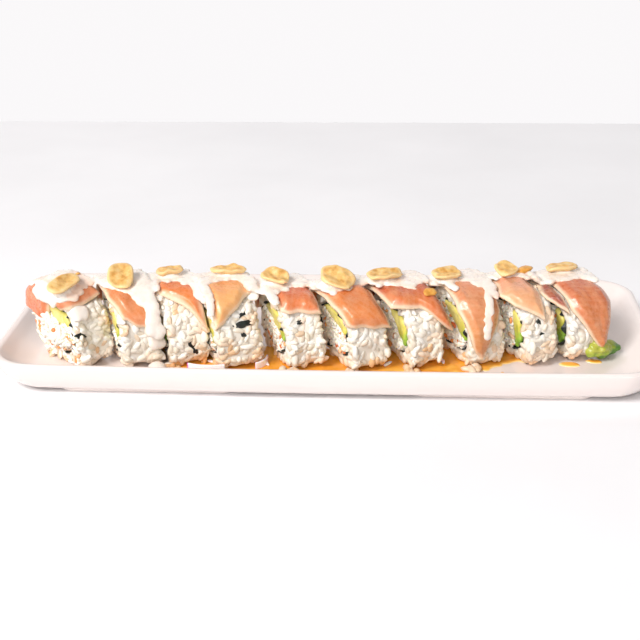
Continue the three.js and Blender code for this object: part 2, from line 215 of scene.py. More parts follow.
def joined(shapes: Sequence[Shape]) -> Shape:
    """Puts several shapes into one.

    Args:
        shapes: Shapes that all have the same fields.

    Returns:
        One shape with all their points and faces.
    """
    starts = np.cumsum([0] + [len(shape.points) for shape in shapes])
    faces = [block + start for shape, start in zip(shapes, starts) for block in shape.faces]
    fields = {key: np.concatenate([shape.fields[key] for shape in shapes]) for key in shapes[0].fields}
    return Shape(np.concatenate([shape.points for shape in shapes]), faces, fields)


def lofted(rings: np.ndarray, ends: Ends) -> Shape:
    """A skin over rings of points.

    Args:
        rings: Rings by points by three coordinates.
        ends: How the first and last ring are shut.

    Returns:
        The closed shape.
    """
    count, around = rings.shape[:2]
    index = np.arange(count * around).reshape(count, around)
    low = index if ends is Ends.LOOPED else index[:-1]
    high = np.roll(index, -1, axis=0) if ends is Ends.LOOPED else index[1:]
    quads = np.stack([low, np.roll(low, -1, 1), np.roll(high, -1, 1), high], axis=-1)
    faces = [quads.reshape(-1, 4)]
    if ends is Ends.FLAT:
        faces += [index[:1, ::-1], index[-1:]]
    if ends is Ends.STRIP:
        for ring in (index[0][::-1], index[-1]):
            near, far = ring[: around // 2], ring[around // 2 :][::-1]
            faces.append(np.stack([near[:-1], near[1:], far[1:], far[:-1]], axis=-1))
    return Shape(rings.reshape(-1, 3), faces)


def solid(node: str) -> Shape:
    """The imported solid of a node.

    Args:
        node: The node's name.

    Returns:
        Its shape, as triangles.
    """
    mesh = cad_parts[node].data
    mesh.calc_loop_triangles()
    points = np.array([vertex.co for vertex in mesh.vertices]) / MM
    return Shape(points, [np.array([list(triangle.vertices) for triangle in mesh.loop_triangles])])


def remeshed(shape: Shape, voxel: float, passes: int) -> Shape:
    """Joins the closed shells of a shape into one even, eased skin.

    Args:
        shape: One or more closed shells, which may cross.
        voxel: The new skin's mesh size.
        passes: How many times the skin is smoothed.

    Returns:
        The new skin, without fields.
    """
    carrier = bpy.data.objects.new("carrier", Shape(shape.points, shape.faces).mesh("carrier"))
    bpy.context.scene.collection.objects.link(carrier)
    skin = carrier.modifiers.new("skin", "REMESH")
    skin.mode = "VOXEL"
    skin.voxel_size = voxel * MM
    ease = carrier.modifiers.new("ease", "SMOOTH")
    ease.factor = EASE
    ease.iterations = passes
    made = carrier.evaluated_get(bpy.context.evaluated_depsgraph_get()).to_mesh()
    points = np.zeros(len(made.vertices) * 3)
    made.vertices.foreach_get("co", points)
    by_sides: dict[int, list[list[int]]] = {}
    for polygon in made.polygons:
        by_sides.setdefault(len(polygon.vertices), []).append(list(polygon.vertices))
    bpy.data.objects.remove(carrier)
    return Shape(points.reshape(-1, 3) / MM, [np.array(faces) for faces in by_sides.values()])


def scattered(
    template: Shape,
    centres: np.ndarray,
    axes: np.ndarray,
    sizes: np.ndarray,
    fields: dict[str, np.ndarray],
) -> Shape:
    """Copies one small shape to many places.

    Args:
        template: A shape of about 1 by 1 by 1 round the origin.
        centres: Where each copy's middle goes.
        axes: The three directions of each copy, as rows.
        sizes: Length, width and depth of each copy.
        fields: One value a copy, given to all its points.

    Returns:
        All copies as one shape.
    """
    local = template.points[None] * sizes[:, None]
    points = np.einsum("npk,nkj->npj", local, axes) + centres[:, None]
    starts = (np.arange(len(centres)) * len(template.points))[:, None, None]
    faces = [(block[None] + starts).reshape(-1, block.shape[1]) for block in template.faces]
    values = {key: np.repeat(value, len(template.points)) for key, value in fields.items()}
    return Shape(points.reshape(-1, 3), faces, values)


def pebble(steps: int, sides: int, blunt: float, bend: float, seed: int) -> Shape:
    """A long rounded body of size 1, such as a grain of rice or a shred of crab.

    Args:
        steps: Rings along its length.
        sides: Points round each ring.
        blunt: How full its ends are: 2 is an ellipse, more is fuller.
        bend: How far its middle is bowed, as a share of its length.
        seed: Which unevenness it has.

    Returns:
        The closed shape, with its length along the first axis.
    """
    along = -np.cos(np.linspace(PEBBLE_CAP, math.pi - PEBBLE_CAP, steps))
    radius = (1 - np.abs(along) ** blunt) ** 0.5 / 2
    turn = np.linspace(0, 2 * math.pi, sides, endpoint=False)
    rings = np.stack(
        [
            np.repeat(along[:, None] / 2, sides, 1),
            radius[:, None] * np.cos(turn) + bend * (1 - along[:, None] ** 2),
            radius[:, None] * np.sin(turn),
        ],
        axis=-1,
    )
    shape = lofted(rings, Ends.FLAT)
    shape.points *= 1 + PEBBLE_UNEVEN * waves(shape.points, 0.7, seed)[:, None]
    return shape


def scatter(shape: Shape, gap: float, tries: int, seed: int) -> tuple[np.ndarray, np.ndarray]:
    """Draws places on a shape's triangles, none nearer to another than a gap.

    Args:
        shape: A shape of triangles.
        gap: The least distance between two places.
        tries: How many places are drawn before the near ones are dropped.
        seed: Which draw it is.

    Returns:
        The places and the outward directions there.
    """
    draw = np.random.default_rng(seed)
    corners = shape.points[shape.faces[0]]
    turned = np.cross(corners[:, 1] - corners[:, 0], corners[:, 2] - corners[:, 0])
    area = np.linalg.norm(turned, axis=1)
    chosen = draw.choice(len(area), tries, p=area / area.sum())
    first, second = draw.random((2, tries, 1))
    fold = first + second > 1
    first, second = np.where(fold, 1 - first, first), np.where(fold, 1 - second, second)
    a, b, c = (corners[chosen, k] for k in range(3))
    places = a + first * (b - a) + second * (c - a)
    kept: list[int] = []
    for i, place in enumerate(places):
        if not kept or np.min(np.sum((places[kept] - place) ** 2, axis=1)) > gap * gap:
            kept.append(i)
    return places[kept], unit(turned[chosen[kept]])


def lying(outward: np.ndarray, tilt: float, seed: int) -> np.ndarray:
    """Directions for things that lie on a surface, each turned its own way.

    Args:
        outward: The surface's outward direction at each thing.
        tilt: How far a thing's length may lean out of the surface, as a slope.
        seed: Which draw it is.

    Returns:
        For each thing, its length, width and depth directions as rows.
    """
    draw = np.random.default_rng(seed)
    any_way = unit(draw.normal(size=outward.shape))
    flat = unit(any_way - np.sum(any_way * outward, axis=1, keepdims=True) * outward)
    length = unit(flat + outward * draw.uniform(-tilt, tilt, (len(outward), 1)))
    depth = unit(outward - np.sum(outward * length, axis=1, keepdims=True) * length)
    return np.stack([length, np.cross(depth, length), depth], axis=1)


def mixed(tree: Tree, share: Any, first: Any, second: Any) -> Socket:
    """Mixes two colours by a share, each a socket or a constant."""
    return add(tree, "ShaderNodeMix", {0: share, 6: first, 7: second}, data_type="RGBA").outputs[2]


def read(tree: Tree, label: str) -> Socket:
    """One of the values that a shape has at its points."""
    return add(tree, "ShaderNodeAttribute", attribute_name=label).outputs["Fac"]


def noise(tree: Tree, size: float, detail: float, place: Any = None, rough: float = 0.5) -> Socket:
    """Soft noise over a surface.

    Args:
        tree: The material's nodes.
        size: The usual size of a blotch in mm.
        detail: How many finer layers it has.
        place: The coordinates that it is read at, or none for the object's own.
        rough: How strong the finer layers are.

    Returns:
        The noise, round 0.5.
    """
    if place is None:
        place = add(tree, "ShaderNodeTexCoord").outputs["Object"]
    inputs = {"Vector": place, "Scale": per_mm(size), "Detail": detail, "Roughness": rough}
    return add(tree, "ShaderNodeTexNoise", inputs).outputs["Fac"]


def spread(tree: Tree, value: Any, source: Pair, target: Pair) -> Socket:
    """Takes a value from one range to another, and holds it there.

    Args:
        tree: The material's nodes.
        value: The value.
        source: The range that it comes from.
        target: The range that it goes to.

    Returns:
        The new value.
    """
    inputs = {"Value": value, 1: source[0], 2: source[1], 3: target[0], 4: target[1]}
    return add(tree, "ShaderNodeMapRange", inputs).outputs[0]


def plus(tree: Tree, first: Any, second: Any, clamp: bool = False) -> Socket:
    """Adds two values, and holds the sum from 0 to 1 if asked."""
    return add(tree, "ShaderNodeMath", {0: first, 1: second}, operation="ADD", use_clamp=clamp).outputs[0]


def ramp(tree: Tree, share: Any, *stops: tuple[float, str]) -> Socket:
    """A ramp of colours.

    Args:
        tree: The material's nodes.
        share: The value that the colours are read by.
        *stops: Places and hex colours, in rising order.

    Returns:
        The colour.
    """
    node = add(tree, "ShaderNodeValToRGB", {"Fac": share})
    elements = node.color_ramp.elements
    for element, (place, colour) in ((elements[0], stops[0]), (elements[1], stops[-1])):
        element.position = place
        element.color = linear(colour)
    for place, colour in stops[1:-1]:
        elements.new(place).color = linear(colour)
    return node.outputs[0]


@dataclass(frozen=True)
class Grain:
    """Fine uneven gloss and relief.

    Attributes:
        size: The usual size of an unevenness.
        least: The least roughness.
        most: The most.
        relief: The bump's height.
        detail: How many finer layers it has.
    """

    size: float
    least: float
    most: float
    relief: float
    detail: float = 3.0


class Finish(ABC):
    """A finish, made as one material and then shared.

    Attributes:
        name: The material's name.
        grain: Its gloss and relief.
        wet_film: Whether its coat follows the relief, so that the shine breaks up.
    """

    name: str
    grain: Grain
    wet_film: bool = False

    @abstractmethod
    def constants(self) -> Constants:
        """The shader's values that are the same all over."""

    @abstractmethod
    def colour(self, tree: Tree) -> Socket:
        """Adds the nodes that colour the surface.

        Args:
            tree: The material's nodes.

        Returns:
            The colour.
        """

    def material(self) -> bpy.types.Material:
        """The finish's material, made at its first use."""
        found = bpy.data.materials.get(self.name)
        if found:
            return found
        made = bpy.data.materials.new(self.name)
        made.use_nodes = True
        tree, grain = made.node_tree, self.grain
        shader = tree.nodes["Principled BSDF"]
        for socket, value in self.constants().items():
            shader.inputs[socket].default_value = value
        uneven = noise(tree, grain.size, grain.detail)
        height = {"Height": uneven, "Distance": grain.relief * MM, "Strength": 1.0}
        bump = add(tree, "ShaderNodeBump", height).outputs[0]
        gloss = spread(tree, uneven, (0.3, 0.7), (grain.least, grain.most))
        tree.links.new(self.colour(tree), shader.inputs["Base Color"])
        tree.links.new(gloss, shader.inputs["Roughness"])
        for normal in ("Normal", "Coat Normal") if self.wet_film else ("Normal",):
            tree.links.new(bump, shader.inputs[normal])
        return made


@dataclass(frozen=True)
class StonewareGlaze(Finish):
    """Stoneware dipped in a white tin glaze: a hard even gloss with a few iron specks from the clay."""

    name: str = "stoneware_white_dipped_glaze"
    # A warm white glaze colour whose pink tint is partly painted bounce light from the food: it barely shows
    # where the glaze is lit and warms its shaded walls.
    white: str = "#ebdfda"
    speck: str = "#b9a59b"
    speck_spacing: float = 17.0
    speck_share: float = 0.028
    speck_blur: float = 1.6
    grain: Grain = Grain(30.0, 0.16, 0.24, 0.15)

    def constants(self) -> Constants:
        """A glassy coat over a white body."""
        return {"IOR": 1.52, "Coat Weight": 0.25, "Coat Roughness": 0.06}

    def colour(self, tree: Tree) -> Socket:
        """White, with a speck in each cell of an uneven grid that reaches the surface."""
        place = add(tree, "ShaderNodeTexCoord").outputs["Object"]
        cells = add(tree, "ShaderNodeTexVoronoi", {"Vector": place, "Scale": per_mm(self.speck_spacing)})
        edge = (self.speck_share, self.speck_share * self.speck_blur)
        dots = spread(tree, cells.outputs["Distance"], edge, (1.0, 0.0))
        return mixed(tree, dots, linear(self.white), linear(self.speck))


@dataclass(frozen=True)
class SteamedRice(Finish):
    """Short-grain rice, steamed and dressed: soft, half clear, each grain with its own tone."""

    name: str = "short_grain_rice_steamed"
    shaded: str = "#e4d8c4"
    plain: str = "#f0e8da"
    bright: str = "#faf6ee"
    sauce: str = "#e0a050"
    grain: Grain = Grain(0.9, 0.3, 0.45, 0.05)

    def constants(self) -> Constants:
        """Light goes into a grain and out again near by."""
        return {
            "IOR": 1.42,
            "Subsurface Weight": 0.2,
            "Subsurface Radius": (1.0, 0.97, 0.93),
            "Subsurface Scale": 0.5 * MM,
            "Coat Weight": 0.15,
            "Coat Roughness": 0.2,
        }

    def colour(self, tree: Tree) -> Socket:
        """A tone for each grain, and sauce where it has soaked in."""
        tones = ramp(tree, read(tree, "tone"), (0.0, self.shaded), (0.5, self.plain), (1.0, self.bright))
        return mixed(tree, read(tree, "stain"), tones, linear(self.sauce))


@dataclass(frozen=True)
class RoastedNori(Finish):
    """Laver, pressed into sheets and roasted: near black, faintly green, with a fine crinkle."""

    name: str = "laver_pressed_and_roasted"
    dark: str = "#0d1110"
    green: str = "#27322a"
    blotch: float = 2.5
    grain: Grain = Grain(0.7, 0.35, 0.6, 0.12)

    def constants(self) -> Constants:
        """A dull sheet, wetted by the rice."""
        return {"IOR": 1.45, "Coat Weight": 0.2, "Coat Roughness": 0.3}

    def colour(self, tree: Tree) -> Socket:
        """Blotches of green, as thin places of the sheet show."""
        return ramp(tree, noise(tree, self.blotch, 4.0), (0.4, self.dark), (0.75, self.green))


@dataclass(frozen=True)
class CrabSalad(Finish):
    """Cooked crab, pulled to shreds and bound with dressing: creamy white, with its red skin in flecks."""

    name: str = "crab_shredded_in_dressing"
    white: str = "#fff8ee"
    warm: str = "#fcecd6"
    orange: str = "#f0a05c"
    red: str = "#e1703a"
    grain: Grain = Grain(0.8, 0.28, 0.45, 0.12)

    def constants(self) -> Constants:
        """Moist and a little see-through."""
        return {
            "IOR": 1.4,
            "Subsurface Weight": 0.3,
            "Subsurface Radius": (1.0, 0.6, 0.4),
            "Subsurface Scale": 1.2 * MM,
            "Coat Weight": 0.2,
            "Coat Roughness": 0.15,
        }

    def colour(self, tree: Tree) -> Socket:
        """A tone for each shred, from white meat to red skin."""
        stops = ((0.0, self.white), (0.5, self.warm), (0.8, self.orange), (1.0, self.red))
        return ramp(tree, read(tree, "tone"), *stops)


@dataclass(frozen=True)
class AvocadoFlesh(Finish):
    """Ripe avocado, cut with a knife: butter yellow inside, through lime, to green under the skin."""

    name: str = "avocado_ripe_knife_cut"
    inner: str = "#e8d986"
    middle: str = "#d2c858"
    outer: str = "#96bd45"
    skin: str = "#628f2c"
    blotch: float = 3.0
    shift: float = 0.14
    grain: Grain = Grain(1.2, 0.25, 0.42, 0.08)

    def constants(self) -> Constants:
        """Waxy and oily, with a soft glow in thin places."""
        return {
            "IOR": 1.46,
            "Subsurface Weight": 0.25,
            "Subsurface Radius": (0.8, 1.0, 0.3),
            "Subsurface Scale": 1.2 * MM,
            "Coat Weight": 0.2,
            "Coat Roughness": 0.2,
        }

    def colour(self, tree: Tree) -> Socket:
        """The green deepens towards the skin, with soft blotches along the way."""
        shift = spread(tree, noise(tree, self.blotch, 3.0), (0.25, 0.75), (-self.shift, self.shift))
        stops = ((0.12, self.inner), (0.45, self.middle), (0.75, self.outer), (1.0, self.skin))
        return ramp(tree, plus(tree, read(tree, "ripe"), shift), *stops)


@dataclass(frozen=True)
class RawFish(Finish):
    """Raw fish, sliced thin across the muscle: wet and half clear, with fine lines and a pale cut edge.

    Attributes:
        upper: The colour by the crown.
        lower: The colour by the hem.
        rim: The colour of the cut edge and of the muscle lines.
        fat: The colour of the fatty mottle.
        line_spacing: From one muscle line to the next.
        line_turn: Which way the lines run.
        line_share: How much of the rim's colour the lines have.
        cloud: The size of the drifts between the two tones.
        drift: How far these drifts go.
        mottle: The size of the fatty mottle.
        fatty: How much of the fat's colour it has.
    """

    name: str
    upper: str
    lower: str
    rim: str = "#f7dfc2"
    fat: str = "#f2bf96"
    line_spacing: float = 2.1
    line_turn: float = 24.0
    line_share: float = 0.05
    cloud: float = 9.0
    drift: float = 0.35
    mottle: float = 4.0
    fatty: float = 0.38
    grain: Grain = Grain(1.1, 0.2, 0.42, 0.1)
    wet_film: bool = True

    def constants(self) -> Constants:
        """A wet skin of oil over flesh that lets red light through."""
        return {
            "IOR": 1.38,
            "Subsurface Weight": 0.2,
            "Subsurface Radius": (1.0, 0.5, 0.3),
            "Subsurface Scale": 1.6 * MM,
            "Coat Weight": 0.4,
            "Coat Roughness": 0.22,
        }

    def colour(self, tree: Tree) -> Socket:
        """Two tones from crown to hem, fat and muscle lines across them, and the pale rim."""
        lie = add(tree, "ShaderNodeAttribute", attribute_name="lie").outputs["Vector"]
        drift = spread(tree, noise(tree, self.cloud, 3.0, lie), (0.25, 0.75), (-self.drift, self.drift))
        share = plus(tree, read(tree, "deep"), drift, clamp=True)
        flesh = mixed(tree, share, linear(self.upper), linear(self.lower))
        fatty = spread(tree, noise(tree, self.mottle, 5.0, lie, 0.65), (0.42, 0.75), (0.0, self.fatty))
        flesh = mixed(tree, fatty, flesh, linear(self.fat))
        turn = (0.0, 0.0, math.radians(self.line_turn))
        turned = add(tree, "ShaderNodeMapping", {"Vector": lie, "Rotation": turn}).outputs[0]
        bands = {
            "Vector": turned,
            # A band texture repeats every pi / 10 of its scaled coordinate.
            "Scale": math.pi / 10 * per_mm(self.line_spacing),
            "Distortion": 5.0,
            "Detail": 2.0,
            "Detail Scale": 0.6,
        }
        lines = add(tree, "ShaderNodeTexWave", bands).outputs["Fac"]
        faint = spread(tree, lines, (0.35, 1.0), (0.0, self.line_share))
        marbled = mixed(tree, faint, flesh, linear(self.rim))
        return mixed(tree, read(tree, "rim"), marbled, linear(self.rim))


@dataclass(frozen=True)
class GarlicCream(Finish):
    """White cream, spooned on thick: smooth and glossy, warm where it lies thin over the fish."""

    name: str = "white_cream_spooned"
    white: str = "#f2e8de"
    warm: str = "#eddbcd"
    over_fish: str = "#f3cfb8"
    drift: float = 7.0
    grain: Grain = Grain(1.5, 0.22, 0.38, 0.06)

    def constants(self) -> Constants:
        """Milky, so light spreads under its surface."""
        return {
            "IOR": 1.45,
            "Subsurface Weight": 0.3,
            "Subsurface Radius": (1.0, 0.8, 0.65),
            "Subsurface Scale": 1.0 * MM,
            "Coat Weight": 0.2,
            "Coat Roughness": 0.12,
        }

    def colour(self, tree: Tree) -> Socket:
        """Slow drifts from white to warm, and the fish's colour through its thin edges."""
        tones = ramp(tree, noise(tree, self.drift, 3.0), (0.45, self.white), (0.8, self.warm))
        return mixed(tree, read(tree, "thin"), tones, linear(self.over_fish))


@dataclass(frozen=True)
class FriedGarlic(Finish):
    """Garlic, sliced and fried crisp: dry and golden, browner in blotches and pale along the rim."""

    name: str = "garlic_sliced_and_fried"
    pale: str = "#f2d39b"
    golden: str = "#e7b86e"
    brown: str = "#ca9046"
    blotch: float = 2.6
    grain: Grain = Grain(0.8, 0.4, 0.6, 0.15)

    def constants(self) -> Constants:
        """A dry crust with a trace of oil."""
        return {"IOR": 1.46, "Subsurface Weight": 0.15, "Subsurface Scale": 0.8 * MM, "Coat Weight": 0.08}

    def colour(self, tree: Tree) -> Socket:
        """Toasted blotches, fainter towards the rim."""
        stops = ((0.32, self.brown), (0.52, self.golden), (0.75, self.pale))
        toasted = ramp(tree, noise(tree, self.blotch, 5.0), *stops)
        return mixed(tree, read(tree, "rim"), toasted, linear(self.pale))


@dataclass(frozen=True)
class PonzuSauce(Finish):
    """Soy and citrus sauce, poured: a thin amber film, pale at its edge and brown where it lies deep."""

    name: str = "soy_citrus_sauce_poured"
    thin: str = "#fde0a2"
    amber: str = "#fbbf56"
    deep: str = "#ee9f35"
    swirl: float = 8.0
    shift: Pair = (-0.45, 0.35)
    grain: Grain = Grain(6.0, 0.06, 0.14, 0.05)

    def constants(self) -> Constants:
        """A wet mirror of a surface."""
        return {"IOR": 1.35, "Coat Weight": 0.4, "Coat Roughness": 0.03}

    def colour(self, tree: Tree) -> Socket:
        """The colour follows the depth of the film, with swirls."""
        shift = spread(tree, noise(tree, self.swirl, 4.0), (0.25, 0.75), self.shift)
        stops = ((0.1, self.thin), (0.55, self.amber), (1.0, self.deep))
        return ramp(tree, plus(tree, read(tree, "film"), shift), *stops)


@dataclass(frozen=True)
class RedOnion(Finish):
    """Red onion, shaved raw: glassy white flesh with a magenta skin along one edge."""

    name: str = "red_onion_shaved"
    flesh: str = "#fbeeee"
    blush: str = "#f3cfe0"
    skin: str = "#c9489f"
    grain: Grain = Grain(1.0, 0.2, 0.32, 0.06)

    def constants(self) -> Constants:
        """Wet and nearly clear."""
        return {
            "IOR": 1.36,
            "Subsurface Weight": 0.35,
            "Subsurface Scale": 1.0 * MM,
            "Coat Weight": 0.3,
            "Coat Roughness": 0.1,
        }

    def colour(self, tree: Tree) -> Socket:
        """White, then a blush, then the skin."""
        return ramp(tree, read(tree, "skin"), (0.35, self.flesh), (0.7, self.blush), (0.95, self.skin))


@dataclass(frozen=True)
class PaintedTable(Finish):
    """A table top painted white by roller: matt, with a faint mottle."""

    name: str = "table_painted_white"
    white: str = "#f6f4f5"
    shade: str = "#f1eff0"
    mottle: float = 120.0
    grain: Grain = Grain(4.0, 0.5, 0.65, 0.02)

    def constants(self) -> Constants:
        """Matt paint."""
        return {"IOR": 1.45}

    def colour(self, tree: Tree) -> Socket:
        """A slow mottle over some centimetres."""
        return ramp(tree, noise(tree, self.mottle, 3.0), (0.35, self.shade), (0.65, self.white))


@dataclass(frozen=True)
class Section:
    """A rounded outline across the roll, squarer below than above.

    Attributes:
        half_depth: From the middle to the front or back.
        centre: Height of its widest place.
        above: From there to the crown.
        below: From there to the base.
        square_above: How square the upper half is: 2 is an ellipse.
        square_below: The same for the lower half.
    """

    half_depth: float
    centre: float
    above: float
    below: float
    square_above: float
    square_below: float

    def at(self, angle: np.ndarray, grow: Numbers = 0.0) -> tuple[np.ndarray, np.ndarray]:
        """Points of the outline.

        Args:
            angle: 0 is the back, 90 the crown and 180 the front.
            grow: How far outside the outline the points are.

        Returns:
            Their v and z.
        """
        side, up = np.cos(np.radians(angle)), np.sin(np.radians(angle))
        reach = np.where(up < 0, self.below, self.above) + grow
        power = 2 / np.where(up < 0, self.square_below, self.square_above)
        v = (self.half_depth + grow) * np.sign(side) * np.abs(side) ** power
        z = self.centre + reach * np.sign(up) * np.abs(up) ** power
        return v, np.maximum(z, 0)

    def share(self, v: np.ndarray, z: np.ndarray, grow: float = 0.0) -> np.ndarray:
        """How far out a point is, from 0 in the middle to 1 on the outline.

        Args:
            v: Across the roll.
            z: Height.
            grow: How far outside the outline 1 is.

        Returns:
            One share a point.
        """
        rise = z - self.centre
        power = np.where(rise < 0, self.square_below, self.square_above)
        reach = np.where(rise < 0, self.below, self.above) + grow
        wide = np.abs(v) / (self.half_depth + grow)
        return (wide**power + (np.abs(rise) / reach) ** power) ** (1 / power)


ROLL = Section(17.5, 12.6, 15.5, 12.6, 2.6, 4.5)
BORE = Section(12.9, 13.7, 9.7, 9.7, 2.9, 2.9)
PLATE_FLOOR = 5.0
# The slices stand this far over the plate's floor.
REST = 0.3
# How far a slice leans to the left, as a slope.
LEAN = 0.1
# The fish's underside is this far outside the rice's outline.
FISH_LIFT = 1.3
FISH_THICKNESS = 2.6
FISH_TOP = FISH_LIFT + FISH_THICKNESS

QUARTER = np.arange(90.0, 181.0)
QUARTER_LENGTHS = np.concatenate(
    ([0.0], np.cumsum(np.hypot(np.diff(ROLL.at(QUARTER)[0]), np.diff(ROLL.at(QUARTER)[1]))))
)


def draped(drop: np.ndarray, lift: Numbers) -> tuple[np.ndarray, np.ndarray]:
    """Where something lies that is draped over the roll.

    Args:
        drop: Length along the surface from the crown, plus to the front and minus to the back.
        lift: Height above the roll's outline.

    Returns:
        The points' v and z. Past the roll's widest place they hang straight down.
    """
    length = np.abs(drop)
    v, z = ROLL.at(np.interp(length, QUARTER_LENGTHS, QUARTER), lift)
    return np.where(drop < 0, -v, v), z - np.maximum(length - QUARTER_LENGTHS[-1], 0)


def between(span: Span, place: np.ndarray) -> np.ndarray:
    """Reads the three values of a span, which stand at -1, 0 and 1."""
    return np.interp(place, (-1.0, 0.0, 1.0), span)


@dataclass(frozen=True)
class Cover:
    """A piece of fish over a slice.

    Attributes:
        hem: How far it hangs down in front, at its left, middle and right.
        back: How far it hangs down behind.
        upper: Its colour by the crown.
        lower: Its colour by the hem.
        left: Where its left edge lies along the slice, at the crown, halfway down and at the hem.
        right: The same for its right edge.
        line_turn: Which way its muscle lines run.
        rim_width: How broad its pale edge is.
        wrap: How far its left edge is folded down over the slice's face.
    """

    hem: Span
    back: float
    upper: str
    lower: str
    left: Span = (-1.06, -1.06, -1.06)
    right: Span = (1.06, 1.06, 1.06)
    line_turn: float = 24.0
    rim_width: float = 1.6
    wrap: float = 0.0

    def along(self, side: np.ndarray, down: np.ndarray) -> np.ndarray:
        """Where places of the fish lie along the slice.

        Args:
            side: From -1 at its left edge to 1 at its right.
            down: From 0 at the crown to 1 at the hem.

        Returns:
            From -1 at the slice's left face to 1 at its right.
        """
        left, right = between(self.left, 2 * down - 1), between(self.right, 2 * down - 1)
        return left + (right - left) * (side + 1) / 2

    def spot(self, along: np.ndarray, drop: np.ndarray) -> tuple[np.ndarray, np.ndarray]:
        """Which place of the fish lies over a place of the slice.

        Args:
            along: From -1 at the slice's left face to 1 at its right.
            drop: Length down from the crown.

        Returns:
            The place's side, beyond -1 or 1 where the fish doesn't reach, and the hem there.
        """
        side = np.zeros_like(drop)
        for _ in range(5):
            hem = between(self.hem, side)
            down = np.clip(drop / hem, 0, 1)
            left, right = self.along(np.array(-1.0), down), self.along(np.array(1.0), down)
            side = np.clip(2 * (along - left) / (right - left) - 1, -3, 3)
        return side, between(self.hem, side)


@dataclass(frozen=True)
class Slice:
    """One slice of the roll, and what lies on it.

    Attributes:
        number: Its place in the row, from 1 at the left.
        x: Where it stands along the plate.
        y: Where it stands across the plate.
        yaw: How far its axis is turned to the back.
        thickness: Along the roll's axis.
        tall: Its height, as a share of the section's.
        cover: The fish over it.
        cream: How far the cream runs down in front, at its left, middle and right.
        bare: Places where the rice is open down to the nori: along, drop, length, width and turn.
    """

    number: int
    x: float
    y: float
    yaw: float
    thickness: float
    tall: float
    cover: Cover
    cream: Span
    bare: tuple[tuple[float, float, float, float, float], ...] = ()

    @property
    def half(self) -> float:
        """Half its thickness."""
        return self.thickness / 2

    @property
    def turn(self) -> Pair:
        """The cosine and the sine of its yaw."""
        return math.cos(math.radians(self.yaw)), math.sin(math.radians(self.yaw))

    def label(self, kind: str) -> str:
        """The name of one of its nodes."""
        return f"{kind}_{self.number:02d}"

    def world(self, u: np.ndarray, v: np.ndarray, z: np.ndarray) -> np.ndarray:
        """Takes points from the slice's frame to the plate's.

        Args:
            u: Along the roll's axis.
            v: Across it.
            z: Height above the slice's base.

        Returns:
            One point a row, or more in the inputs' own grid.
        """
        along = u - LEAN * z
        cosine, sine = self.turn
        x = self.x + cosine * along - sine * v
        y = self.y + sine * along + cosine * v
        return np.stack([x, y, PLATE_FLOOR + REST + z * self.tall], axis=-1)

    def local(self, points: np.ndarray) -> tuple[np.ndarray, np.ndarray, np.ndarray]:
        """Takes points from the plate's frame to the slice's.

        Args:
            points: One point a row.

        Returns:
            Their u, v and z.
        """
        cosine, sine = self.turn
        x, y = points[:, 0] - self.x, points[:, 1] - self.y
        z = (points[:, 2] - PLATE_FLOOR - REST) / self.tall
        return cosine * x + sine * y + LEAN * z, cosine * y - sine * x, z

    def over(self, along: np.ndarray, drop: np.ndarray, lift: Numbers) -> np.ndarray:
        """Points draped over the slice.

        Args:
            along: From -1 at its left face to 1 at its right.
            drop: Length down from the crown.
            lift: Height above the rice's outline.

        Returns:
            The points in the plate's frame.
        """
        return self.world(along * self.half, *draped(drop, lift))


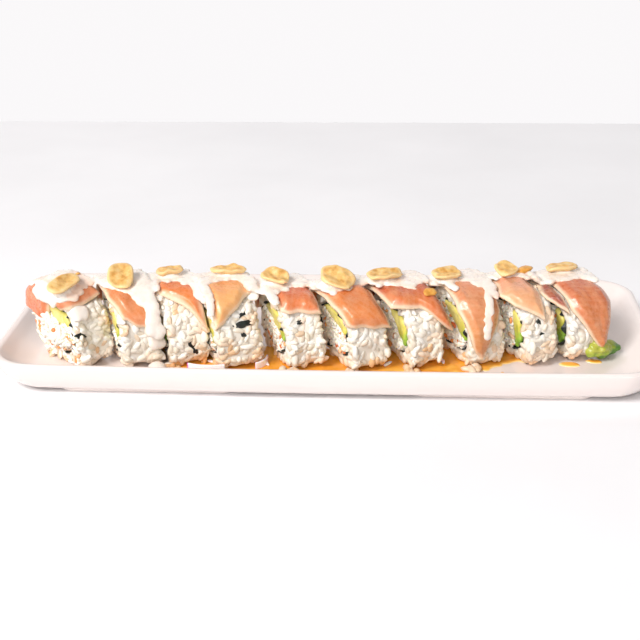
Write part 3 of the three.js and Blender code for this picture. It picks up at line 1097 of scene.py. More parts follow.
SLICES = (
    Slice(
        1, -102, -20, 46, 15, 1.08,
        Cover((15, 14, 12), 24, "#d9754a", "#dc865a", wrap=13.0),
        (8, 11, 9),
        ((-0.9, 25.0, 4.5, 2.2, 20.0),),
    ),
    Slice(
        2, -77.8, -18.5, 24, 15.5, 1.05,
        Cover((19, 22, 26), 22, "#d27646", "#d98553", left=(-1.25, -1.2, -0.75)),
        (3, 11, 24),
    ),
    Slice(
        3, -59, -16, 22, 15.5, 1.03,
        Cover((6, 14, 24), 25, "#d46534", "#e0854a", right=(1.05, 1.05, 1.05), line_turn=60.0, rim_width=3.0),
        (1, 3, 9),
        ((0.05, 29.5, 3.6, 2.4, 30.0), (0.25, 32.5, 3.2, 1.8, 60.0), (-0.05, 15.5, 2.6, 1.0, 10.0)),
    ),
    Slice(
        4, -38.7, -18, 23, 17.5, 1.06,
        Cover((22, 16, 9), 26, "#e39156", "#eaad6e", left=(-1.04, -1.04, -1.04), line_turn=70.0),
        (3, 2, 5),
        ((0.4, 17.0, 5.5, 1.4, -20.0), (0.25, 21.0, 7.5, 2.6, -6.0), (0.25, 25.0, 2.6, 1.8, 50.0),
            (0.55, 13.0, 1.8, 1.4, 0.0)),
    ),
    Slice(
        5, -12.8, -17, 25, 15, 1.0,
        Cover((14, 15.5, 17), 24, "#c45b3a", "#da7c4a", (-1.15, -1.15, -1.06), (1.1, 1.1, 1.0), -30.0),
        (5, 5, 4),
        ((-0.2, 18.5, 2.4, 1.8, 0.0),),
    ),
    Slice(
        6, 11.6, -18, 27, 15.5, 1.015,
        Cover((19, 21, 22), 23, "#d57942", "#dc834a", (-1.5, -1.5, -1.15), (0.9, 0.85, 1.15), 40.0),
        (5, 4, 3),
    ),
    Slice(
        7, 34.2, -14.5, 27, 14.5, 1.03,
        Cover((12, 15, 25), 25, "#b75034", "#d57944", (-1.8, -1.85, -1.75), (1.1, 1.1, 1.5), -20.0),
        (1, 5, 5),
    ),
    Slice(
        8, 58.2, -11.5, 26, 15, 1.03,
        Cover((29, 33, 35), 24, "#d48863", "#d99058", (-1.25, -1.5, -1.05), (1.06, 0.8, -0.55), 80.0),
        (1, 3, 16),
    ),
    Slice(
        9, 79.6, -9.8, 25, 13.5, 1.03,
        Cover((13.5, 17, 20.5), 22, "#db9472", "#e7a979", (-1.5, -1.9, -1.4), (0.5, 0.45, 0.15), 75.0),
        (-1, -1, 3),
        ((-0.15, 20.5, 2.2, 1.6, 50.0), (-0.05, 25.5, 2.6, 1.2, 10.0)),
    ),
    Slice(
        10, 97.4, -4.5, 25, 14, 0.98,
        Cover((33, 34, 30), 26, "#c46b49", "#d58451", (-0.8, -0.8, 0.7), (1.75, 1.9, 1.2), 80.0),
        (3, 4, 5),
    ),
)
UNDER_COVER = Cover((9, 14, 18), 10, "#873424", "#9a452d", (-1.6, -1.9, -1.85), (-0.98, -0.96, -1.0), 60.0)


def show(name: str, shape: Shape, finish: Finish, stands_for: Sequence[str] = ()) -> None:
    """Makes a piece of the object from a shape.

    Args:
        name: The piece's name.
        shape: Its form, in the plate's frame.
        finish: What it is dressed in.
        stands_for: The nodes that it replaces.
    """
    piece = bpy.data.objects.new(name, shape.mesh(name))
    piece.data.materials.append(finish.material())
    bpy.context.scene.collection.objects.link(piece)
    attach(piece, BODY)
    if stands_for:
        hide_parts(*stands_for)
    log.info("%s: %d points, %s", name, len(shape.points), finish.name)


@dataclass
class Plate:
    """The long plate: a flat floor, a wall that flares to a rolled rim, and two foot pads."""

    length: float = 264.0
    depth: float = 107.0
    bow: float = 2.2
    end_slope: float = 1.15
    corner: float = 17.0
    least_corner: float = 4.0
    underside: float = 2.3
    foot_inner: float = 34.0
    foot_outer: float = 105.0
    foot_half_depth: float = 44.0
    foot_corner: float = 6.0
    foot_edge: float = 0.7
    foot_ease: float = 0.2
    wall: tuple[Pair, ...] = (
        (18, 5), (14, 5), (10.5, 5.9), (6.2, 9.3), (3.4, 13.0), (2.3, 14.3), (1, 14.6), (0.2, 14.1),
        (0, 13.1), (2.6, 6.8), (6.6, 2.3), (10, 2.3),
    )
    finish: Finish = StonewareGlaze()

    def outline(self, half_length: float, half_depth: float, corner: float) -> np.ndarray:
        """A rounded rectangle.

        Args:
            half_length: Half its length.
            half_depth: Half its depth.
            corner: The radius of its corners.

        Returns:
            Its x and y, with as many points whatever its size.
        """
        turn = np.radians(np.linspace(0, 90, 15))
        points = []
        for quarter, (sx, sy) in enumerate(((1, 1), (-1, 1), (-1, -1), (1, -1))):
            arc = turn + math.radians(90 * quarter)
            x = sx * (half_length - corner) + corner * np.cos(arc)
            y = sy * (half_depth - corner) + corner * np.sin(arc)
            points.append(np.stack([x, y], axis=-1))
        closed = np.concatenate(points + [points[0][:1]])
        straight = np.linspace(0, 1, 41)[1:-1, None]
        filled = []
        for i, corner_points in enumerate(points):
            start, end = corner_points[-1], closed[(i + 1) * len(turn)]
            filled += [corner_points, start + straight * (end - start)]
        return np.concatenate(filled)

    def ring(self, inset: float, height: float) -> np.ndarray:
        """One ring of the wall, with the long sides bowed out.

        Args:
            inset: How far inside the rim's outline it is.
            height: Above the table.

        Returns:
            The ring's points.
        """
        half_depth = self.depth / 2 - self.bow - inset
        corner = max(self.corner - inset / 2, self.least_corner)
        flat = self.outline(self.length / 2 - inset * self.end_slope, half_depth, corner)
        bowed = self.bow * (1 - (2 * flat[:, 0] / self.length) ** 2) * flat[:, 1] / half_depth
        return np.stack([flat[:, 0], flat[:, 1] + bowed, np.full(len(flat), height)], axis=-1)

    def foot(self, side: int) -> Shape:
        """One foot pad, with an eased lower edge.

        Args:
            side: -1 for the left pad and 1 for the right one.

        Returns:
            The pad, let a little into the plate.
        """
        middle = side * (self.foot_inner + self.foot_outer) / 2
        half_length = (self.foot_outer - self.foot_inner) / 2
        rings = []
        edge, ease = self.foot_edge, self.foot_ease
        for inset, height in ((edge, 0), (ease, ease), (0, edge), (0, self.underside + ease)):
            flat = self.outline(half_length - inset, self.foot_half_depth - inset, self.foot_corner)
            rings.append(np.column_stack([flat[:, 0] + middle, flat[:, 1], np.full(len(flat), height)]))
        return lofted(np.array(rings), Ends.FLAT)

    def profile(self, steps: int = 6) -> np.ndarray:
        """The wall's insets and heights on one smooth line through its given points.

        Args:
            steps: Points from one given point to the next.

        Returns:
            Inset and height, one row a point.
        """
        given = np.array(self.wall)
        padded = np.concatenate([given[:1], given, given[-1:]])
        t = np.linspace(0, 1, steps, endpoint=False)[:, None]
        line = []
        for p0, p1, p2, p3 in zip(padded, padded[1:], padded[2:], padded[3:]):
            bend = 2 * p0 - 5 * p1 + 4 * p2 - p3
            twist = 3 * (p1 - p2) + p3 - p0
            line.append(p1 + 0.5 * t * ((p2 - p0) + t * (bend + t * twist)))
        return np.concatenate(line + [given[-1:]])

    def build(self) -> Shape:
        """The plate's shape, with its feet."""
        rings = np.array([self.ring(inset, height) for inset, height in self.profile()])
        return joined([lofted(rings, Ends.FLAT), self.foot(-1), self.foot(1)])

    def dress(self) -> None:
        """Shows the plate in its glaze."""
        show("plate_glazed", self.build(), self.finish, ["plate"])


@dataclass
class RiceBed:
    """The ring of rice of one slice: single grains, pressed on a core of rice."""

    place: Slice
    grain: Span = (4.9, 2.8, 2.4)
    uneven: float = 0.11
    gap: float = 1.8
    tries: int = 3200
    size_range: Pair = (0.75, 1.3)
    kinds: int = 4
    core_voxel: float = 1.2
    core_passes: int = 2
    core_inset: float = 0.3
    # The core's tone, a little above the grains' middle one, is painted light: it brightens the gaps between
    # the grains, where shade falls.
    core_tone_painted_light: float = 0.6
    sunk: Pair = (0.7, 1.3)
    tilt: float = 0.25
    lowest: float = 1.2
    steepest: float = -0.7
    under_fish: float = 5.0
    # How much of the fish's width, from its middle, has no grains under it.
    under_side: float = 0.9
    soaked_height: float = 6.5
    soaked_low: Pair = (0.1, 0.7)
    # The share of grains with a stain of their own, and its strength.
    soaked_odd: Pair = (0.08, 0.25)
    soaked_patch: float = 8.0
    soaked_patch_share: float = 0.4
    soaked_core: float = 0.35
    loose: int = 5
    # The first and the last slice with loose grains by it.
    loose_by: tuple[int, int] = (3, 8)
    finish: Finish = SteamedRice()

    def hidden(self, u: np.ndarray, v: np.ndarray, z: np.ndarray) -> np.ndarray:
        """Which places aren't seen: in the bore, under the fish or in an open place.

        Args:
            u: Along the roll's axis.
            v: Across it.
            z: Height.

        Returns:
            True for each place that gets no grain.
        """
        angles = np.arange(0.0, 181.0)
        outline = np.stack(ROLL.at(angles), axis=-1)
        nearest = np.argmin(((np.stack([v, z], axis=-1)[:, None] - outline) ** 2).sum(axis=2), axis=1)
        front = angles[nearest] > 90
        length = np.interp(np.where(front, angles[nearest], 180 - angles[nearest]), QUARTER, QUARTER_LENGTHS)
        length = length + np.where(length >= QUARTER_LENGTHS[-1] - 0.2, np.maximum(ROLL.centre - z, 0), 0)
        drop = np.where(front, length, -length)
        along = u / self.place.half
        cover = self.place.cover
        side, hem = cover.spot(along, drop)
        covered = (np.abs(side) < self.under_side) & (drop < hem - self.under_fish)
        covered &= drop > self.under_fish - cover.back
        inside = np.abs(u) < self.place.half - 1
        found = (BORE.share(v, z, 0.5) < 1) | (covered & inside)
        for bare_along, bare_drop, length_of, width, _ in self.place.bare:
            off_u = (along - bare_along) * self.place.half / (length_of / 2 - 0.1)
            off_drop = (drop - bare_drop) / (width / 2 + 0.1)
            found |= (np.hypot(off_u, off_drop) < 1) & inside
        return found

    def grains(self) -> Shape:
        """All grains of the slice."""
        seed = 100 * self.place.number
        draw = np.random.default_rng(seed)
        places, outward = scatter(solid(self.place.label("rice")), self.gap, self.tries, seed + 1)
        seen = ~self.hidden(*self.place.local(places))
        seen &= places[:, 2] > PLATE_FLOOR + REST + self.lowest
        seen &= outward[:, 2] > self.steepest
        places, outward = places[seen], outward[seen]
        count = len(places)
        places = places - outward * draw.uniform(*self.sunk, (count, 1))
        loose = self.loose if self.loose_by[0] <= self.place.number <= self.loose_by[1] else 0
        fallen = self.place.world(
            draw.uniform(-self.place.half - 3, -self.place.half + 3, loose),
            -ROLL.half_depth + draw.uniform(-1.0, 4.0, loose),
            np.full(loose, 0.4 * self.grain[2]),
        )
        places = np.concatenate([places, fallen])
        outward = np.concatenate([outward, upward(loose)])
        count += loose
        sizes = np.array(self.grain) * draw.normal(1, self.uneven, (count, 3)).clip(*self.size_range)
        axes = lying(outward, self.tilt, seed + 2)
        low = smoothstep(self.soaked_height, 1.0, places[:, 2] - PLATE_FLOOR)
        odd, odd_share = self.soaked_odd
        stain = low * draw.uniform(*self.soaked_low, count)
        stain = stain + np.where(draw.random(count) < odd, odd_share, 0.0)
        patches = smoothstep(0.25, 0.9, waves(places, self.soaked_patch, seed + 3))
        stain = (stain + self.soaked_patch_share * patches).clip(0, 0.9)
        tone = draw.random(count)
        kind = draw.integers(0, self.kinds, count)
        shapes = []
        for k in range(self.kinds):
            mine = kind == k
            fields = {"tone": tone[mine], "stain": stain[mine]}
            template = pebble(8, 8, 2.6, 0.04 * k, k + 1)
            shapes.append(scattered(template, places[mine], axes[mine], sizes[mine], fields))
        return joined(shapes)

    def core(self) -> Shape:
        """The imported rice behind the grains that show."""
        core = remeshed(solid(self.place.label("rice")), self.core_voxel, self.core_passes)
        _, v, z = self.place.local(core.points)
        off_bore = smoothstep(1.05, 1.25, BORE.share(v, z))
        core.points = core.points - (self.core_inset * off_bore)[:, None] * core.normals()
        core.points[:, 2] = np.maximum(core.points[:, 2], PLATE_FLOOR + 0.1)
        low = smoothstep(self.soaked_height, 1.0, core.points[:, 2] - PLATE_FLOOR)
        # The core's fixed, brighter tone is painted light in the gaps between grains.
        core.fields = {"tone": np.full(len(low), self.core_tone_painted_light), "stain": self.soaked_core * low}
        return core

    def dress(self) -> None:
        """Shows the grains and their core."""
        label = self.place.label("rice")
        show(f"{label}_grains", joined([self.core(), self.grains()]), self.finish, [label])


@dataclass
class NoriSheet:
    """The sheet of nori rolled round one slice's filling, and where it shows through the rice."""

    place: Slice
    thickness: float = 0.45
    inset: float = 0.3
    steps: int = 140
    proud: float = -0.8
    ragged: float = 1.2
    ragged_size: float = 4.0
    bare_depth: float = -0.6
    bare_steps: int = 28
    bare_ragged: float = 0.22
    finish: Finish = RoastedNori()

    def ring(self) -> Shape:
        """The sheet round the filling, with ragged cut edges."""
        angle = np.linspace(0, 360, self.steps, endpoint=False)
        ways = np.stack([np.cos(np.radians(angle)), np.sin(np.radians(angle))], axis=-1) * 10
        corners = []
        outer, inner = -self.inset, -self.inset - self.thickness
        for side, grow in ((-1, outer), (1, outer), (1, inner), (-1, inner)):
            edge = self.place.half + self.proud
            edge = edge + self.ragged * waves(ways, self.ragged_size, 7 * self.place.number + side)
            v, z = BORE.at(angle, grow)
            corners.append(self.place.world(side * edge, v, z))
        return lofted(np.stack(corners, axis=1), Ends.LOOPED)

    def patch(self, along: float, drop: float, length: float, width: float, turn: float, seed: int) -> Shape:
        """A scrap of the sheet that shows between the grains.

        Args:
            along: Where it is along the slice.
            drop: How far down from the crown.
            length: Its length.
            width: Its width.
            turn: How far its length is turned.
            seed: Which ragged outline it has.

        Returns:
            A thin ragged shape.
        """
        angle = np.linspace(0, 2 * math.pi, self.bare_steps, endpoint=False)
        ways = np.stack([np.cos(angle), np.sin(angle)], axis=-1)
        ragged = 1 + self.bare_ragged * waves(ways, 0.9, seed)
        x, y = length / 2 * ragged * np.cos(angle), width / 2 * ragged * np.sin(angle)
        cosine, sine = math.cos(math.radians(turn)), math.sin(math.radians(turn))
        rings = []
        for size, lift in ((0.2, 0.0), (1.0, 0.0), (1.0, self.thickness), (0.2, self.thickness)):
            u = along + size * (cosine * x - sine * y) / self.place.half
            rings.append(self.place.over(u, drop + size * (sine * x + cosine * y), self.bare_depth + lift))
        return lofted(np.array(rings), Ends.FLAT)

    def dress(self) -> None:
        """Shows the sheet and its scraps."""
        seed = 10 * self.place.number
        scraps = [self.patch(*bare, seed + i) for i, bare in enumerate(self.place.bare)]
        show(self.place.label("nori"), joined([self.ring(), *scraps]), self.finish)


@dataclass
class CrabFilling:
    """The crab in one slice: shreds on a core."""

    place: Slice
    shred: Span = (3.2, 1.7, 1.4)
    gap: float = 1.25
    tries: int = 1400
    face_depth: float = 0.8
    whole_face: float = 99.0
    heap_top: float = 17.0
    core_voxel: float = 1.0
    core_passes: int = 2
    white_share: float = 0.87
    white_tones: Pair = (0.0, 0.35)
    red_tones: Pair = (0.6, 1.0)
    finish: Finish = CrabSalad()

    def cut_places(self, node: str, seed: int, top: float) -> tuple[np.ndarray, np.ndarray]:
        """Draws places for shreds on the cut faces of a node.

        Args:
            node: The node.
            seed: Which draw it is.
            top: Only the left face is used up to this height, or both faces if it is above the slice.

        Returns:
            The places and the outward directions there.
        """
        places, outward = scatter(solid(node), self.gap, self.tries, seed)
        u, _, z = self.place.local(places)
        if top > ROLL.centre + ROLL.above:
            cut = np.abs(u) > self.place.half - self.face_depth
        else:
            cut = (u < self.face_depth - self.place.half) & (z < top)
        return places[cut], outward[cut]

    def tucked(self, points: np.ndarray) -> np.ndarray:
        """Keeps the crab of a slice whose fish is folded down inside that fold.

        Args:
            points: Places in the plate's frame.

        Returns:
            The places, moved in along the roll where the fold hangs.
        """
        if not self.place.cover.wrap:
            return points
        u, v, z = self.place.local(points)
        behind = smoothstep(2.0, 5.0, v) * smoothstep(9.0, 13.0, z)
        return self.place.world(np.maximum(u, -self.place.half - 0.5 - 5 * (1 - behind)), v, z)

    def build(self) -> Shape:
        """The core, and shreds on its cut faces. At the roll's first end they spill over the whole face."""
        seed = 100 * self.place.number + 40
        draw = np.random.default_rng(seed)
        label = self.place.label("crab")
        core = remeshed(solid(label), self.core_voxel, self.core_passes)
        core.points = self.tucked(core.points)
        core.fields = {"tone": 0.2 + 0.15 * waves(core.points, 4.0, seed)}
        places, outward = self.cut_places(label, seed + 1, self.whole_face)
        if self.place.cover.wrap:
            for i, kind in enumerate(("avocado", "rice")):
                more = self.cut_places(self.place.label(kind), seed + 11 + i, self.heap_top)
                places = np.concatenate([places, more[0]])
                outward = np.concatenate([outward, more[1]])
        places = self.tucked(places)
        count = len(places)
        sizes = np.array(self.shred) * draw.uniform(0.6, 1.3, (count, 3))
        white = draw.random(count) < self.white_share
        tone = np.where(white, draw.uniform(*self.white_tones, count), draw.uniform(*self.red_tones, count))
        axes = lying(outward, 0.5, seed + 2)
        return joined([core, scattered(pebble(6, 6, 2.2, 0.08, 3), places, axes, sizes, {"tone": tone})])

    def dress(self) -> None:
        """Shows the crab."""
        label = self.place.label("crab")
        show(f"{label}_shreds", self.build(), self.finish, [label])


@dataclass
class AvocadoFilling:
    """The piece of avocado in one slice."""

    place: Slice
    voxel: float = 0.6
    passes: int = 4
    relief: float = 0.15
    relief_size: float = 3.0
    green_from: float = 21.0
    green_to: float = 8.0
    finish: Finish = AvocadoFlesh()

    def build(self) -> Shape:
        """The solid with its facets eased, greener towards its outside and its foot."""
        shape = remeshed(solid(self.place.label("avocado")), self.voxel, self.passes)
        uneven = self.relief * waves(shape.points, self.relief_size, self.place.number)
        shape.points = shape.points + uneven[:, None] * shape.normals()
        _, v, z = self.place.local(shape.points)
        outer = BORE.share(v, z, -1.0)
        shape.fields = {"ripe": 0.3 * outer**3 + 0.6 * smoothstep(self.green_from, self.green_to, z)}
        return shape

    def dress(self) -> None:
        """Shows the avocado."""
        label = self.place.label("avocado")
        show(f"{label}_flesh", self.build(), self.finish, [label])


@dataclass
class FishCover:
    """One piece of fish, draped over a slice."""

    name: str
    place: Slice
    cover: Cover
    columns: int = 34
    rows: int = 64
    edge_thickness: float = 0.9
    edge_width: float = 4.0
    edge_round: float = 0.8
    edge_least: float = 0.35
    # The height and the length of each unevenness.
    hem_wave: Pair = (0.4, 9.0)
    back_wave: Pair = (0.6, 11.0)
    relief: Pair = (0.22, 8.0)
    fine_relief: Pair = (0.07, 2.6)
    underside: float = 0.3
    overhang_droop: float = 0.8
    rim_share: float = 0.85
    fold_radius: float = 3.0
    fold_start: float = 2.0
    # How much of the wrap is left in front of the crown.
    fold_front: float = 0.42

    def build(self) -> Shape:
        """A thick sheet whose edges thin out, with uneven hems."""
        cover, half = self.cover, self.place.half
        side = np.linspace(-1, 1, self.columns)
        seed = 31 * len(self.name) + self.place.number
        across = (side * half)[:, None]
        hem = between(cover.hem, side) + self.hem_wave[0] * waves(across, self.hem_wave[1], seed)
        back = cover.back + self.back_wave[0] * waves(across, self.back_wave[1], seed + 1)
        drop = -back + (hem + back) * np.linspace(0, 1, self.rows)[:, None]
        folded = cover.wrap * (self.fold_front + (1 - self.fold_front) * smoothstep(0.0, -8.0, drop))
        folded = folded * smoothstep(-24.0, -17.0, drop) * smoothstep(0.0, 5.0, hem - drop)
        u = cover.along(side, np.maximum(drop, 0) / hem) * half - folded * (1 - side) / 2
        lie = np.stack([u, drop, np.zeros_like(u)], axis=-1)
        flat = lie.reshape(-1, 3)
        sides = np.minimum(u - u[:, :1], u[:, -1:] - u)
        nearest = np.minimum(sides, np.minimum(drop + back, hem - drop))
        fill = smoothstep(0.0, self.edge_width, nearest)
        ends = np.clip(nearest / self.edge_round, 0, 1) ** 0.5
        thick = self.edge_thickness + (FISH_THICKNESS - self.edge_thickness) * fill
        thick = thick * (self.edge_least + (1 - self.edge_least) * ends)
        uneven = (self.relief[0] * waves(flat, self.relief[1], seed + 2)).reshape(u.shape)
        uneven = uneven + (self.fine_relief[0] * waves(flat, self.fine_relief[1], seed + 3)).reshape(u.shape)
        droop = self.overhang_droop * smoothstep(half - 1.0, half + 5.0, np.abs(u))
        outer = self.sheet(u, drop, FISH_LIFT + thick + uneven - droop)
        inner = self.sheet(u, drop, FISH_LIFT - self.underside + 0.3 * uneven - droop)
        shape = lofted(np.concatenate([outer, inner[:, ::-1]], axis=1), Ends.STRIP)
        rim = smoothstep(cover.rim_width, 0.2, nearest) * self.rim_share
        deep = smoothstep(0.0, 1.0, drop / np.maximum(hem, 1))
        for label, values in (("lie", lie * MM), ("rim", rim), ("deep", deep)):
            both = np.concatenate([values, values[:, ::-1]], axis=1)
            shape.fields[label] = both.reshape((-1, 3) if both.ndim == 3 else -1)
        return shape

    def sheet(self, u: np.ndarray, drop: np.ndarray, lift: np.ndarray) -> np.ndarray:
        """Points of one face of the sheet.

        Args:
            u: Along the roll's axis, as if the sheet weren't folded.
            drop: Length down from the crown.
            lift: Height above the rice's outline.

        Returns:
            The points in the plate's frame. A sheet with a wrap turns down over the slice's left face.
        """
        if not self.cover.wrap:
            return self.place.over(u / self.place.half, drop, lift)
        start = self.fold_start - self.place.half
        past = np.maximum(start - u, 0)
        turn = np.minimum(past / self.fold_radius, math.pi / 2)[..., None]
        along = np.maximum(u, start) / self.place.half
        centre = self.place.over(along, drop, FISH_LIFT - self.fold_radius)
        out = unit(self.place.over(along, drop, FISH_LIFT) - centre)
        reach = (self.fold_radius + lift - FISH_LIFT)[..., None]
        cosine, sine = self.place.turn
        side = np.array([-cosine, -sine, 0.0])
        hanging = (past - self.fold_radius * turn[..., 0])[..., None]
        return centre + reach * (np.cos(turn) * out + np.sin(turn) * side) - hanging * out

    def dress(self) -> None:
        """Shows the fish in its own tones."""
        cover = self.cover
        finish = RawFish(f"raw_{self.name}_sliced", cover.upper, cover.lower, line_turn=cover.line_turn)
        show(f"{self.name}_slice", self.build(), finish, [self.name])


@dataclass(frozen=True)
class Stroke:
    """A run of cream down a slice: the slice's number, its path as along and drop, and its half width."""

    number: int
    path: tuple[Pair, ...]
    radius: float


@dataclass
class CreamTopping:
    """The white cream over the fish: one skin over many small dabs."""

    back: float = 12.0
    spacing: float = 1.0
    radius: Pair = (1.0, 2.0)
    flatness: float = 0.62
    sunk: float = 0.25
    voxel: float = 0.5
    passes: int = 4
    ragged: float = 1.5
    fringe_back: float = 3.0
    fringe_front: float = 4.0
    jitter: float = 0.4
    off_fish: float = 0.4
    stroke_steps: int = 16
    bridge_sag: float = 1.6
    bridge_back: float = 9.0
    bridge_rows: float = 1.1
    bridge_columns: int = 9
    bridge_radius: Pair = (1.2, 2.0)
    bed_share: float = 0.5
    bed_slope: float = 0.1
    bed_gap: float = 1.7
    bed_depth: float = 7.0
    bed_rows: float = 0.8
    bed_radius: Pair = (1.0, 1.4)
    thin_above: float = 15.0
    bridges: tuple[tuple[int, float], ...] = ((2, 4.0), (3, 13.0), (4, 8.0), (5, 3.0), (7, 3.0), (9, 4.0))
    strokes: tuple[Stroke, ...] = (
        Stroke(1, ((-0.4, -3.0), (0.1, -4.0), (0.5, -5.0)), 3.4),
        Stroke(1, ((-1.25, -6.0), (-1.3, 0.0), (-1.3, 5.0), (-1.1, 9.0), (-0.6, 12.0)), 1.9),
        Stroke(1, ((-0.75, 16.0), (-0.6, 17.0), (-0.4, 17.0)), 2.6),
        Stroke(2, ((0.95, -2.0), (0.8, 8.0), (0.7, 16.0), (0.75, 24.0), (0.8, 29.0)), 2.9),
        Stroke(2, ((0.4, 0.0), (0.45, 8.0), (0.5, 15.0)), 2.8),
        Stroke(3, ((-1.0, 0.0), (-1.0, 5.0), (-1.0, 9.0)), 1.8),
        Stroke(4, ((-1.05, 0.0), (-1.0, 6.5), (-1.05, 12.0), (-1.1, 17.0)), 1.5),
        Stroke(4, ((1.0, 0.0), (1.1, 4.0), (1.15, 8.0), (1.1, 11.0)), 2.2),
        Stroke(5, ((-1.1, 0.0), (-1.25, 5.0), (-1.3, 10.0)), 1.9),
        Stroke(7, ((-0.9, 0.0), (-0.5, 3.0), (0.0, 7.0)), 1.2),
        Stroke(
            8,
            ((0.9, -2.0), (0.75, 4.0), (0.6, 7.0), (0.35, 12.0), (0.1, 16.0), (-0.15, 20.0), (-0.4, 24.5)),
            1.8,
        ),
        Stroke(8, ((-1.0, -3.0), (-1.1, 2.0), (-1.15, 6.0)), 1.8),
        Stroke(10, ((-0.6, -1.0), (0.0, 0.0), (0.6, 0.0), (1.0, 1.0), (1.3, 4.0)), 2.0),
    )
    finish: Finish = GarlicCream()

    def dabs(self, places: np.ndarray, outward: np.ndarray, radius: np.ndarray, seed: int) -> Shape:
        """Flattened drops of cream.

        Args:
            places: Where they lie.
            outward: The surface's outward directions.
            radius: Their half widths.
            seed: Which way each is turned.

        Returns:
            All drops as one shape of crossing shells.
        """
        sizes = 2 * radius[:, None] * np.array([1.0, 1.0, self.flatness])
        return scattered(pebble(6, 8, 2.0, 0.0, 1), places, lying(outward, 0.0, seed), sizes, {})

    def on_slice(
        self, place: Slice, along: np.ndarray, drop: np.ndarray, radius: np.ndarray, seed: int
    ) -> Shape:
        """Dabs on a slice's fish.

        Args:
            place: The slice.
            along: Where they are along it.
            drop: How far down from the crown.
            radius: Their half widths.
            seed: Which draw it is.

        Returns:
            The dabs.
        """
        side, hem = place.cover.spot(along, drop)
        beside = (np.abs(side) > 1.5) & (place.cover.wrap == 0)
        lift = np.where((drop > hem) | beside, self.off_fish, FISH_TOP - self.sunk)
        fish = FishCover(place.label("fish"), place, place.cover)
        low = fish.sheet(along * place.half, drop, lift)
        high = fish.sheet(along * place.half, drop, lift + 1.0)
        return self.dabs(low, unit(high - low), radius, seed)

    def field(self, place: Slice) -> Shape:
        """The cream that lies along a slice's crown.

        Args:
            place: The slice.

        Returns:
            Its dabs, with a ragged lower edge.
        """
        seed = 500 + place.number
        draw = np.random.default_rng(seed)
        reach = max(place.cream) + self.fringe_front
        cover = place.cover
        u_steps = np.arange(min(cover.left) * place.half, max(cover.right) * place.half, self.spacing)
        drop_steps = np.arange(-self.back - self.fringe_back, reach, self.spacing)
        u, drop = (grid.ravel() for grid in np.meshgrid(u_steps, drop_steps))
        u = u + draw.uniform(-self.jitter, self.jitter, len(u))
        drop = drop + draw.uniform(-self.jitter, self.jitter, len(u))
        along = u / place.half
        flat = np.stack([u, drop], axis=-1)
        fringe = self.ragged * (0.5 * waves(flat, 5.0, seed + 1) + 0.8 * waves(flat, 1.4, seed + 2))
        side, _ = cover.spot(along, drop)
        edge = between(place.cream, side) - self.radius[0]
        kept = (drop < edge + fringe) & (drop > fringe - self.back) & (np.abs(side) < 1)
        radius = draw.uniform(*self.radius, len(u))
        return self.on_slice(place, along[kept], drop[kept], radius[kept], seed)

    def stroke(self, run: Stroke, seed: int) -> Shape:
        """One run of cream.

        Args:
            run: Its path.
            seed: Which draw it is.

        Returns:
            Its dabs.
        """
        draw = np.random.default_rng(seed)
        place = SLICES[run.number - 1]
        path = np.array(run.path)
        steps = np.linspace(0, len(path) - 1, self.stroke_steps * len(path))
        along = np.interp(steps, np.arange(len(path)), path[:, 0])
        drop = np.interp(steps, np.arange(len(path)), path[:, 1])
        along = along + draw.normal(0, 0.25 * run.radius / place.half, len(steps))
        drop = drop + draw.normal(0, 0.25 * run.radius, len(steps))
        return self.on_slice(place, along, drop, run.radius * draw.uniform(0.6, 1.05, len(steps)), seed)

    def bridge(self, first: Slice, second: Slice, lowest: float, seed: int) -> Shape:
        """Cream that spans the gap from one slice to the next.

        Args:
            first: The left slice.
            second: The right slice.
            lowest: How far down it reaches.
            seed: Which draw it is.

        Returns:
            Its dabs.
        """
        draw = np.random.default_rng(seed)
        lift = FISH_TOP - self.sunk
        rows = np.arange(-self.bridge_back, lowest - self.radius[0], self.bridge_rows)
        drop = np.repeat(rows, self.bridge_columns)
        share = np.tile(np.linspace(0, 1, self.bridge_columns), len(rows))
        ones = np.ones_like(drop)
        left, right = first.over(0.9 * ones, drop, lift), second.over(-0.9 * ones, drop, lift)
        places = left + (right - left) * share[:, None]
        places[:, 2] -= self.bridge_sag * 4 * share * (1 - share)
        return self.dabs(places, upward(len(drop)), draw.uniform(*self.bridge_radius, len(drop)), seed)

    def bed(self, place: Slice) -> Shape:
        """The cream that a slice's garlic chip is pressed into.

        Args:
            place: The slice.

        Returns:
            Dabs from the chip's underside down to the fish.
        """
        chip = place.label("garlic")
        middle, axes, _ = GarlicChip(chip, 0).frame_axes()
        spread = (solid(chip).points - middle)[::3]
        levels = np.arange(0.0, self.bed_depth, self.bed_rows)
        shares = self.bed_share + self.bed_slope * levels
        columns = middle - self.bed_gap * axes[2] + shares[:, None, None] * spread
        columns[..., 2] -= levels[:, None]
        columns = columns.reshape(-1, 3)
        _, v, z = place.local(columns)
        columns = columns[ROLL.share(v, z, FISH_TOP - 0.5) > 1]
        outward = np.tile(axes[2], (len(columns), 1))
        radius = np.random.default_rng(750 + place.number).uniform(*self.bed_radius, len(columns))
        return self.dabs(columns, outward, radius, 760 + place.number)

    def dress(self) -> None:
        """Shows the cream as one skin."""
        shapes = [self.field(place) for place in SLICES]
        shapes += [self.bed(place) for place in SLICES]
        shapes += [self.stroke(run, 600 + i) for i, run in enumerate(self.strokes)]
        shapes += [self.bridge(SLICES[a - 1], SLICES[a], lowest, 700 + a) for a, lowest in self.bridges]
        skin = remeshed(joined(shapes), self.voxel, self.passes)
        depth = np.full(len(skin.points), self.radius[1])
        for place in SLICES:
            u, v, z = place.local(skin.points)
            outside = (ROLL.share(v, z, FISH_TOP) - 1) * ROLL.half_depth
            depth = np.where((np.abs(u) < place.half) & (z > self.thin_above), outside, depth)
        skin.fields = {"thin": 0.7 * smoothstep(0.75, -0.1, depth) * smoothstep(-1.6, -0.6, depth)}
        show("cream_topping", skin, self.finish)


